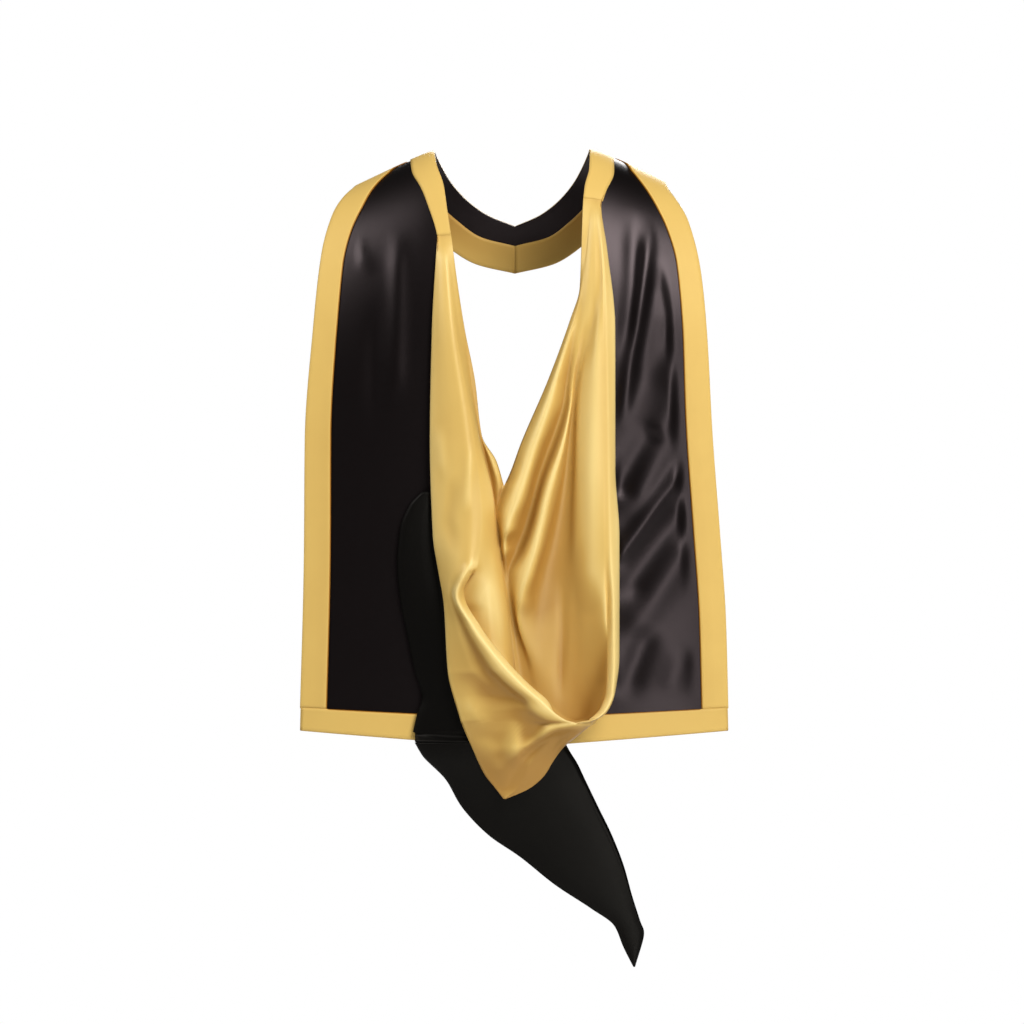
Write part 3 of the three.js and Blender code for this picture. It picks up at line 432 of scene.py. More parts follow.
class Cloth:
    """A mesh that grows from grids of cloth, merged where they meet.

    Attributes:
        evening: How many times the even cloth is smoothed, against which hollows are measured.
        sinking: Share of the hollow mark, painted shade, for each millimetre below the even cloth; above
            it the mark turns to painted highlight.
        limits: Least and greatest of that share.
        down_facing_shade: Share of the mark, painted shade, where the cloth faces down.
        merging: How close points are merged, in metres.
    """

    evening: int = 70
    sinking: float = 0.14
    limits: tuple[float, float] = (-0.5, 0.25)
    down_facing_shade: float = 1.1
    merging: float = 2e-6

    def __init__(self, name: str) -> None:
        """Starts an empty mesh with a map of the cloth's own coordinates."""
        self.name = name
        # Painted shade that a piece adds to the mark, such as inside the cowl's mouth; none unless set.
        self.recess_shade: Callable[[Vector], float] = lambda point: 0.0
        self.mesh = bmesh.new()
        self.uv = self.mesh.loops.layers.uv.new("cloth")

    def grid(self, columns: int, rows: int, place: Callable[[int, int], Vector],
             size: tuple[float, float], start: tuple[float, float] = (0.0, 0.0),
             shift: Callable[[int], float] = lambda row: 0.0) -> None:
        """Adds a grid and moves its points into place.

        Args:
            columns: Number of faces across, to the right as seen from the side that shows.
            rows: Number of faces down.
            place: Returns the point in millimetres for a column and row.
            size: Width and length of the flat cloth in metres, for the UV map.
            start: Where its UV map starts.
            shift: Moves the UV map of a row across, in metres.
        """
        made = bmesh.ops.create_grid(self.mesh, x_segments=columns, y_segments=rows, size=1.0)
        marks = {}
        for vert in made["verts"]:
            column = round((vert.co.x + 1) / 2 * columns)
            row = round((1 - vert.co.y) / 2 * rows)
            along = start[0] + column / columns * size[0] + shift(row)
            marks[vert] = (along, start[1] - row / rows * size[1])
            vert.co = place(column, row) * MM
        for face in {face for vert in marks for face in vert.link_faces}:
            for loop in face.loops:
                loop[self.uv].uv = marks[loop.vert]

    def _mark_painted_light(self) -> None:
        """Stores painted light as the hollow attribute: painted shade in hollows, on sides that face down
        and where the piece adds it, and a painted highlight on ridges.
        """
        even = self.mesh.copy()
        for _ in range(self.evening):
            bmesh.ops.smooth_vert(even, verts=even.verts, factor=0.5, use_axis_x=True, use_axis_y=True,
                                  use_axis_z=True)
        self.mesh.normal_update()
        # The attribute holds painted light: painted shade where high, a painted highlight where low.
        layer = self.mesh.verts.layers.float.new("hollow")
        even.verts.ensure_lookup_table()
        self.mesh.verts.ensure_lookup_table()
        for vert, level in zip(self.mesh.verts, even.verts):
            sunk = (level.co - vert.co).dot(vert.normal) / MM
            edge = 0.0 if vert.is_boundary else 1.0
            # Painted shade on the sides that face down.
            down_shade = self.down_facing_shade * clamp(-vert.normal.z, 0, 0.6)
            local = clamp(self.sinking * sunk * edge, *self.limits)
            vert[layer] = clamp(0.5 + local + down_shade + self.recess_shade(vert.co / MM))
        even.free()

    def finish(self, materials: Sequence[bpy.types.Material], wall: float, slot: Slot,
               *nodes: str) -> bpy.types.Object:
        """Makes the piece, gives it its wall, hangs it on the root and hides the parts that it replaces.

        Args:
            materials: The cloth's finish, and that of its cut edges where it differs.
            wall: Thickness in millimetres, added behind the face that shows.
            slot: The model's material slot; not used.
            nodes: The nodes that the piece replaces.

        Returns:
            The finished object.
        """
        bmesh.ops.remove_doubles(self.mesh, verts=self.mesh.verts, dist=self.merging)
        bmesh.ops.dissolve_degenerate(self.mesh, edges=self.mesh.edges, dist=1e-7)
        self._mark_painted_light()
        for face in self.mesh.faces:
            face.smooth = True
        data = bpy.data.meshes.new(self.name)
        self.mesh.to_mesh(data)
        area = sum(face.calc_area() for face in self.mesh.faces)
        self.mesh.free()
        for material in materials:
            data.materials.append(material)
        piece = bpy.data.objects.new(self.name, data)
        bpy.context.scene.collection.objects.link(piece)
        solid = piece.modifiers.new("wall", "SOLIDIFY")
        solid.thickness = wall * MM
        solid.offset = -1
        solid.use_even_offset = False
        if len(materials) > 1:
            solid.material_offset_rim = 1
        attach(piece, "root")
        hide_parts(*nodes)
        LOG.info("%s: %d faces, %.4f m2", self.name, len(data.polygons), area)
        return piece


@dataclass(frozen=True)
class Station:
    """One row across half of the cape, in millimetres.

    Attributes:
        inner_x, inner_drop: The neck edge, with its drop below the shoulder's crest.
        outer_x, outer_drop: The outer edge, in the same way.
        outer_z: Drop of the outer edge below the origin.
        slant: Widening of the border where the row crosses it at an angle.
        strap: The neckband's share of its full width.
        level: 0 where the row follows the crest's fall, 1 where it is straight.
    """

    inner_x: float
    inner_drop: float
    outer_x: float
    outer_drop: float
    outer_z: float
    slant: float
    strap: float
    level: float


@dataclass
class Shoulders:
    """The form that the cloth lies on: two sloping shoulders, a rounded chest and back."""

    neck_half: float = 82
    crest_slope: float = 0.48
    crest_blend: float = 12
    back_depth: float = 100
    back_round: float = 200
    chest_depth: float = 85
    chest_round: float = 160
    side_bow: float = 28
    cape_half: float = 215

    def crest_fall(self, x: float) -> float:
        """Returns the fall of the shoulder's crest at a distance from the middle."""
        out = abs(x) - self.neck_half
        rounded = 0.5 * (out + math.hypot(out, self.crest_blend))
        return self.crest_slope * rounded * smooth(abs(x), 0, self.neck_half)

    @staticmethod
    def round_share(drop: float, round_over: float) -> float:
        """Returns how far round the body the cloth has come at a drop below the crest."""
        rest = 1 - clamp(drop / round_over)
        return math.sqrt(1 - rest * rest)

    def back_y(self, x: float, z: float) -> float:
        """Returns y of the back at a place."""
        bow = self.side_bow * abs(x / self.cape_half) ** 2.5
        return -self.round_share(-z - self.crest_fall(x), self.back_round) * (self.back_depth - bow)

    def front_y(self, x: float, z: float) -> float:
        """Returns y of the chest at a place."""
        return self.round_share(-z - self.crest_fall(x), self.chest_round) * self.chest_depth


@dataclass
class Cape:
    """The black cape: one cloth from the throat, over the shoulders and down the back to its hem.

    All sizes are in millimetres. Tables hold shares of the sizes that their columns name.

    Attributes:
        fold_clear: Border widths from the outer edge between which the soft folds begin.
        fold_start: Distances from the middle between which they begin.
        trim_gap: Gap left between the neckband and the border where they would meet.
        share_step, row_step: Steps along and down the cloth that its outward direction is read over.
    """

    form: Shoulders = field(default_factory=Shoulders)
    v_drop: float = 344
    drop: float = 604
    throat_drop: float = 75
    throat_width: float = 47
    border_width: float = 28
    hem_corner_width: float = 22
    hem_outer_share: float = 0.974
    strap_width: float = 26
    wall: float = 1.2
    fold_clear: tuple[float, float] = (1.1, 1.5)
    fold_start: tuple[float, float] = (96, 106)
    trim_gap: float = 0.6
    share_step: float = 0.02
    row_step: float = 0.08
    columns: int = 74
    rows_in_span: int = 10

    neckline: dict[Side, Table] = field(default_factory=lambda: {
        Side.LEFT: Table("drop x", [
            (0, -1), (0.05, -0.963), (0.113, -0.878), (0.19, -0.829), (0.28, -0.774), (0.4, -0.707),
            (0.547, -0.61), (0.692, -0.488), (0.855, -0.402), (0.927, -0.226), (1, -0.134),
        ]),
        Side.RIGHT: Table("drop x", [
            (0, 0.927), (0.06, 0.915), (0.122, 0.854), (0.19, 0.829), (0.3, 0.811), (0.424, 0.788),
            (0.517, 0.671), (0.692, 0.402), (0.875, 0.073), (0.962, -0.061), (1, -0.134),
        ]),
    })
    outer_edge: dict[Side, Table] = field(default_factory=lambda: {
        Side.LEFT: Table("drop x", [
            (0.053, -0.712), (0.088, -0.814), (0.116, -0.856), (0.18, -0.902), (0.311, -0.94),
            (0.493, -0.977), (0.684, -0.981), (0.974, -1.002),
        ]),
        Side.RIGHT: Table("drop x", [
            (0.053, 0.679), (0.076, 0.73), (0.126, 0.809), (0.212, 0.865), (0.311, 0.891),
            (0.477, 0.916), (0.651, 0.953), (0.788, 0.98), (0.974, 0.994),
        ]),
    })
    front: tuple[tuple[float, ...], ...] = (
        (0.982, 0.04, 0.651, 0.09, 1.45),
        (0.927, 0.17, 0.567, 0.3, 1.2),
        (0.805, 0.4, 0.456, 0.54, 1.08),
        (0.61, 0.64, 0.335, 0.75, 1.02),
        (0.341, 0.85, 0.186, 0.92, 1),
        (0, 1, 0, 1, 1),
    )
    back: tuple[tuple[float, ...], ...] = (
        (0, 0.056, 1.6, 1), (0.017, 0.071, 1.46, 1.02), (0.047, 0.091, 1.35, 1.03),
        (0.093, 0.119, 1.25, 0.97), (0.157, 0.156, 1.05, 0.8), (0.2674, 0.212, 0.9, 0.56),
        (0.349, 0.258, 0.9, 0.56), (0.459, 0.318, 0.9, 0.56), (0.581, 0.384, 0.92, 0.56),
        (0.715, 0.457, 0.94, 0.56), (0.855, 0.533, 0.95, 0.56), (1, 0.609, 0.95, 0.56),
    )
    lower: tuple[float, ...] = (0.2, 0.4, 0.6, 0.8, 1)
    folds: tuple[Fold, ...] = (
        Fold(((137, -73), (129, -144), (118, -209), (106, -291)), 7, 2.6, 0.2),
        Fold(((120, -60), (117, -140), (110, -230)), 9, -2.6, 0.3),
        Fold(((146, -110), (137, -170), (119, -248)), 11, -3.0, 0.3),
        Fold(((165, -120), (158, -178), (140, -225), (110, -270)), 14, -3.2, 0.3),
        Fold(((172, -205), (161, -257), (130, -330), (108, -380)), 15, 3.6, 0.2),
        Fold(((146, -284), (120, -325), (100, -360)), 15, -4.4, 0.2),
        Fold(((180, -314), (145, -360), (100, -420)), 8, 4.0, 0.1),
        Fold(((182, -350), (142, -406), (104, -462)), 15, -3.8, 0.2),
        Fold(((182, -392), (142, -450), (110, -500)), 16, 2.6, 0.2),
        Fold(((138, -478), (118, -531), (106, -560)), 13, -3.0, 0.3),
        Fold(((172, -500), (152, -560)), 14, 1.8, 0.4),
        Fold(((-171, -84), (-158, -108), (-140, -134)), 8, 1.2, 0.4),
        Fold(((-118, -80), (-118, -170), (-120, -270)), 9, 2.0),
        Fold(((-140, -150), (-142, -300)), 9, -1.6, 0.4),
    )

    def __post_init__(self) -> None:
        """Reads the rows of both halves into tables of stations."""
        self.crest = len(self.front)
        self.point_row = self.crest + len(self.back) - 1
        self.hem_row = self.point_row + len(self.lower)
        self.edge_row = self.hem_row + 1
        names = "row inner_x inner_drop outer_x outer_drop outer_z slant strap level"
        self.stations = {
            side: Table(names, [(i, *vars(row).values()) for i, row in enumerate(self._rows(side))])
            for side in Side
        }

    def neck_x(self, side: Side, drop: float) -> float:
        """Returns x of the back neckline at a drop."""
        return self.form.neck_half * self.neckline[side].at("x", drop / self.v_drop)

    def edge_x(self, side: Side, drop: float) -> float:
        """Returns x of the outer edge at a drop."""
        return self.form.cape_half * self.outer_edge[side].at("x", drop / self.drop)

    def _rows(self, side: Side) -> list[Station]:
        """Returns the stations of one half, from the throat to the hem's edge."""
        crest_z = self.back[0][1] * self.drop
        narrow = abs(self.edge_x(side, crest_z) / self.edge_x(Side.LEFT, crest_z))
        reach = self.throat_drop + self.throat_width
        rows = [
            Station(
                side.value * inner_x * abs(self.neck_x(side, 0)), inner * self.throat_drop,
                side.value * outer_x * self.form.cape_half * mix(narrow, 1, inner), outer * reach,
                0.0, slant, 1.0, 0.0,
            )
            for inner_x, inner, outer_x, outer, slant in reversed(self.front)
        ]
        for i, (inner, outer, slant, strap) in enumerate(self.back):
            inner_drop = inner * self.v_drop
            outer_z = outer * self.drop
            x = self.edge_x(side, outer_z)
            outer_drop = 0.0 if i == 0 else max(outer_z - self.form.crest_fall(x), 0)
            rows.append(Station(self.neck_x(side, inner_drop), inner_drop, x, outer_drop, outer_z,
                                slant, strap, smooth(inner, 0.1, 0.5)))
        last = rows[-1]
        hem_inner = self.drop - self.border_width
        hem_outer = self.drop * self.hem_outer_share - self.hem_corner_width
        ends = [
            (mix(self.v_drop, hem_inner, share), mix(last.outer_z, hem_outer, share), 1 - share)
            for share in self.lower
        ]
        ends.append((self.drop, self.drop * self.hem_outer_share, 0))
        for inner_drop, outer_z, left in ends:
            x = self.edge_x(side, outer_z)
            rows.append(Station(self.neck_x(side, self.v_drop) * left, inner_drop, x,
                                outer_z - self.form.crest_fall(x), outer_z, last.slant, last.strap, 1.0))
        return rows

    def station(self, side: Side, row: float) -> Station:
        """Reads the stations between two rows.

        Args:
            side: The half.
            row: The row, as a number with a fraction.

        Returns:
            The station there, with its rows set closer where the cloth turns over the crest.
        """
        table = self.stations[side]
        near = row
        if self.crest < row < self.crest + 1:
            near = self.crest + (row - self.crest) ** 2
        elif self.crest - 1 < row < self.crest:
            near = self.crest - (self.crest - row) ** 2
        inner_drop = table.at("inner_drop", near)
        outer_z = table.at("outer_z", row)
        inner_x = table.at("inner_x", row)
        if self.crest <= row <= self.point_row:
            inner_x = self.neck_x(side, inner_drop)
        outer_x = self.edge_x(side, outer_z) if row >= self.crest else table.at("outer_x", row)
        return Station(inner_x, inner_drop, outer_x, table.at("outer_drop", near), outer_z,
                       table.at("slant", row), table.at("strap", row), table.at("level", row))

    def point(self, side: Side, row: float, share: float) -> Vector:
        """Returns a point of the cape's outer face.

        Args:
            side: The half.
            row: The row, from 0 at the throat.
            share: 0 at the neck edge and 1 at the outer edge.

        Returns:
            The place in millimetres.
        """
        return self._on_row(self.station(side, row), row, share)

    def _on_row(self, at: Station, row: float, share: float, folded: bool = True) -> Vector:
        """Returns a point on one station's row."""
        x = mix(at.inner_x, at.outer_x, share)
        on_crest = self.form.crest_fall(x) + mix(at.inner_drop, at.outer_drop, share)
        straight = mix(at.inner_drop + self.form.crest_fall(at.inner_x),
                       at.outer_drop + self.form.crest_fall(at.outer_x), share)
        z = -mix(on_crest, straight, at.level)
        if row < self.crest:
            return Vector((x, self.form.front_y(x, z), z))
        y = self.form.back_y(x, z)
        if folded:
            y -= self.fold_height(x, z)
        return Vector((x, y, z))

    def fold_height(self, x: float, z: float) -> float:
        """Returns the height of the soft folds at a place."""
        side = Side.LEFT if x < 0 else Side.RIGHT
        low, high = (share * self.border_width for share in self.fold_clear)
        clear = smooth(abs(self.edge_x(side, -z)) - abs(x), low, high)
        return relief(self.folds, x, z) * clear * smooth(abs(x), *self.fold_start)

    def shares(self, side: Side, row: float) -> tuple[float, float]:
        """Returns where the neckband ends and the border starts, as shares of a row."""
        at = self.station(side, row)
        width = (self._on_row(at, row, 0, False) - self._on_row(at, row, 1, False)).length
        border = 1 - self.border_width * at.slant / width
        return min(self.strap_width * at.strap / width, border - self.trim_gap / width), border

    def normal(self, side: Side, row: float, share: float) -> Vector:
        """Returns the outward direction at a point of the cape."""
        low, high = max(share - self.share_step, 0), min(share + self.share_step, 1)
        up, down = max(row - self.row_step, 0), min(row + self.row_step, self.edge_row)
        across = self.point(side, row, high) - self.point(side, row, low)
        along = self.point(side, down, share) - self.point(side, up, share)
        if side is Side.LEFT:
            across.negate()
        out = along.cross(across)
        if row < 0.01:
            out.x = 0
        return out.normalized()

    def make(self, finishes: Finishes) -> bpy.types.Object:
        """Builds the cape.

        Returns:
            The finished piece.
        """
        cloth = Cloth("cape_cloth")
        rows = self.edge_row * self.rows_in_span
        for side in Side:
            cloth.grid(self.columns, rows, self._grid_place(side, rows), (0.21, 0.78))
        return cloth.finish([finishes.black], self.wall, Slot.BLACK, "cape")

    def _grid_place(self, side: Side, rows: int) -> Callable[[int, int], Vector]:
        """Returns the place of each column and row of one half."""
        def place(column: int, row: int) -> Vector:
            """Returns one point of the half."""
            share = column / self.columns
            if side is Side.LEFT:
                share = 1 - share
            return self.point(side, row / rows * self.edge_row, share)
        return place


@dataclass
class Trims:
    """The gold neckband and the gold bindings folded round the cape's edges.

    Attributes:
        gap: Gap between the cape and what lies on it, in millimetres.
        hem_lift: How far the hem's binding lies over the others, in millimetres.
        end_sunk: How far the neckband sinks at its ends, in millimetres.
        end_rows: Rows over which it sinks.
        throat_row: Where the side bindings start.
        hem_tuck: Rows by which they reach under the hem's binding.
        hem_shift: Shift of the hem's UV map that hides its seam line at the corners, in metres.
    """

    cape: Cape
    gap: float = 0.3
    wall: float = 1.0
    hem_lift: float = 0.15
    end_sunk: float = 0.6
    end_rows: float = 0.4
    throat_row: float = 0.003
    hem_tuck: float = 0.03
    hem_shift: float = 0.002
    hem_steps: int = 60
    left_strap_row: float = 11
    right_strap_row: float = 10
    across: int = 8
    round_steps: int = 4

    def lifted(self, side: Side, row: float, share: float, level: float) -> Vector:
        """Returns a point at a level above the cape's outer face."""
        return self.cape.point(side, row, share) + self.cape.normal(side, row, share) * level

    def make_neckband(self, finishes: Finishes) -> bpy.types.Object:
        """Builds the facing on the neck edge, round the throat and over both shoulders.

        Returns:
            The finished piece.
        """
        cloth = Cloth("neckband_cloth")
        level = self.gap + self.wall
        for side, end in ((Side.LEFT, self.left_strap_row), (Side.RIGHT, self.right_strap_row)):
            rows = int(end * self.cape.rows_in_span)

            def place(column: int, row: int, side: Side = side, end: float = end) -> Vector:
                """Returns one point of the band."""
                at = row / self.cape.rows_in_span
                sunk = self.end_sunk * smooth(at, end - self.end_rows, end)
                share = self.cape.shares(side, at)[0] * column / self.across
                if side is Side.LEFT:
                    share = self.cape.shares(side, at)[0] * (1 - column / self.across)
                return self.lifted(side, at, share, level - sunk)

            cloth.grid(self.across, rows, place, (0.026, 0.26), (0.002, 0))
        return cloth.finish([finishes.gold_trim], self.wall, Slot.GOLD, "neckband")

    def section(self, inner: Vector, edge: Vector, inner_out: Vector, edge_out: Vector,
                lift: float = 0.0) -> list[Vector]:
        """Returns the outer line of a binding round an edge.

        Args:
            inner: Where the binding starts on the cape's outer face.
            edge: The cape's edge.
            inner_out: The outward direction at inner.
            edge_out: The outward direction at the edge.
            lift: How far it lies over the other bindings.

        Returns:
            Points from inner, over the face, round the edge and back under the cape.
        """
        away = edge - inner
        away -= edge_out * away.dot(edge_out)
        away.normalize()
        level = self.gap + self.wall + lift
        under = self.cape.wall + self.gap + self.wall + lift
        half = (level + under) / 2
        face = []
        for i in range(self.across):
            share = i / self.across
            face.append(inner.lerp(edge, share) + inner_out.lerp(edge_out, share) * level)
        turn = []
        centre = edge + edge_out * ((level - under) / 2)
        for i in range(self.round_steps + 1):
            angle = math.pi * (0.5 - i / self.round_steps)
            turn.append(centre + edge_out * (half * math.sin(angle)) + away * (level * math.cos(angle)))
        below = []
        for i in range(self.across):
            share = 1 - (i + 1) / self.across
            below.append(inner.lerp(edge, share) - inner_out.lerp(edge_out, share) * under)
        return [*face, *turn, *below]

    def _binding(self, name: str, sections: list[list[Vector]], flat: tuple[float, float],
                 flipped: bool, shift: Callable[[int], float] = lambda row: 0.0) -> Cloth:
        """Returns the cloth of one binding through its sections."""
        cloth = Cloth(name)
        columns = len(sections[0]) - 1

        def place(column: int, row: int) -> Vector:
            """Returns one point of the binding."""
            return sections[row][columns - column if flipped else column]

        cloth.grid(columns, len(sections) - 1, place, (-flat[0] if flipped else flat[0], flat[1]),
                   (flat[0] if flipped else 0.0, 0.0), shift)
        return cloth

    def make_side(self, side: Side, finishes: Finishes) -> bpy.types.Object:
        """Builds the binding of one outer edge, from the throat to the hem.

        Returns:
            The finished piece.
        """
        span = self.cape.rows_in_span
        count = self.cape.hem_row * span
        sections = []
        for i in range(count + 1):
            row = max(i / span, self.throat_row) + self.hem_tuck * (i == count)
            border = self.cape.shares(side, row)[1]
            sections.append(self.section(
                self.cape.point(side, row, border), self.cape.point(side, row, 1),
                self.cape.normal(side, row, border), self.cape.normal(side, row, 1),
            ))
        name = f"border_{side.name.lower()}"
        cloth = self._binding(f"{name}_cloth", sections, (0.06, 0.78), side is Side.LEFT)
        return cloth.finish([finishes.gold_trim], self.wall, Slot.GOLD, name)

    def make_hem(self, finishes: Finishes) -> bpy.types.Object:
        """Builds the binding of the hem, from corner to corner.

        Returns:
            The finished piece.
        """
        steps = self.hem_steps
        sections = []
        for side in Side:
            shares = [i / steps for i in range(steps + 1)]
            if side is Side.LEFT:
                shares = shares[:0:-1]
            for share in shares:
                sections.append(self.section(
                    self.cape.point(side, self.cape.hem_row, share),
                    self.cape.point(side, self.cape.edge_row, share),
                    self.cape.normal(side, self.cape.hem_row, share),
                    self.cape.normal(side, self.cape.edge_row, share), self.hem_lift,
                ))
        border = int(steps * self.cape.shares(Side.LEFT, self.cape.hem_row)[1])

        def shift(row: int) -> float:
            """Hides the seam where the hem crosses the side bindings."""
            return self.hem_shift if abs(row - steps) > border else 0.0

        cloth = self._binding("border_hem_cloth", sections, (0.06, 0.44), True, shift)
        return cloth.finish([finishes.gold_trim], self.wall, Slot.GOLD, "border_hem")


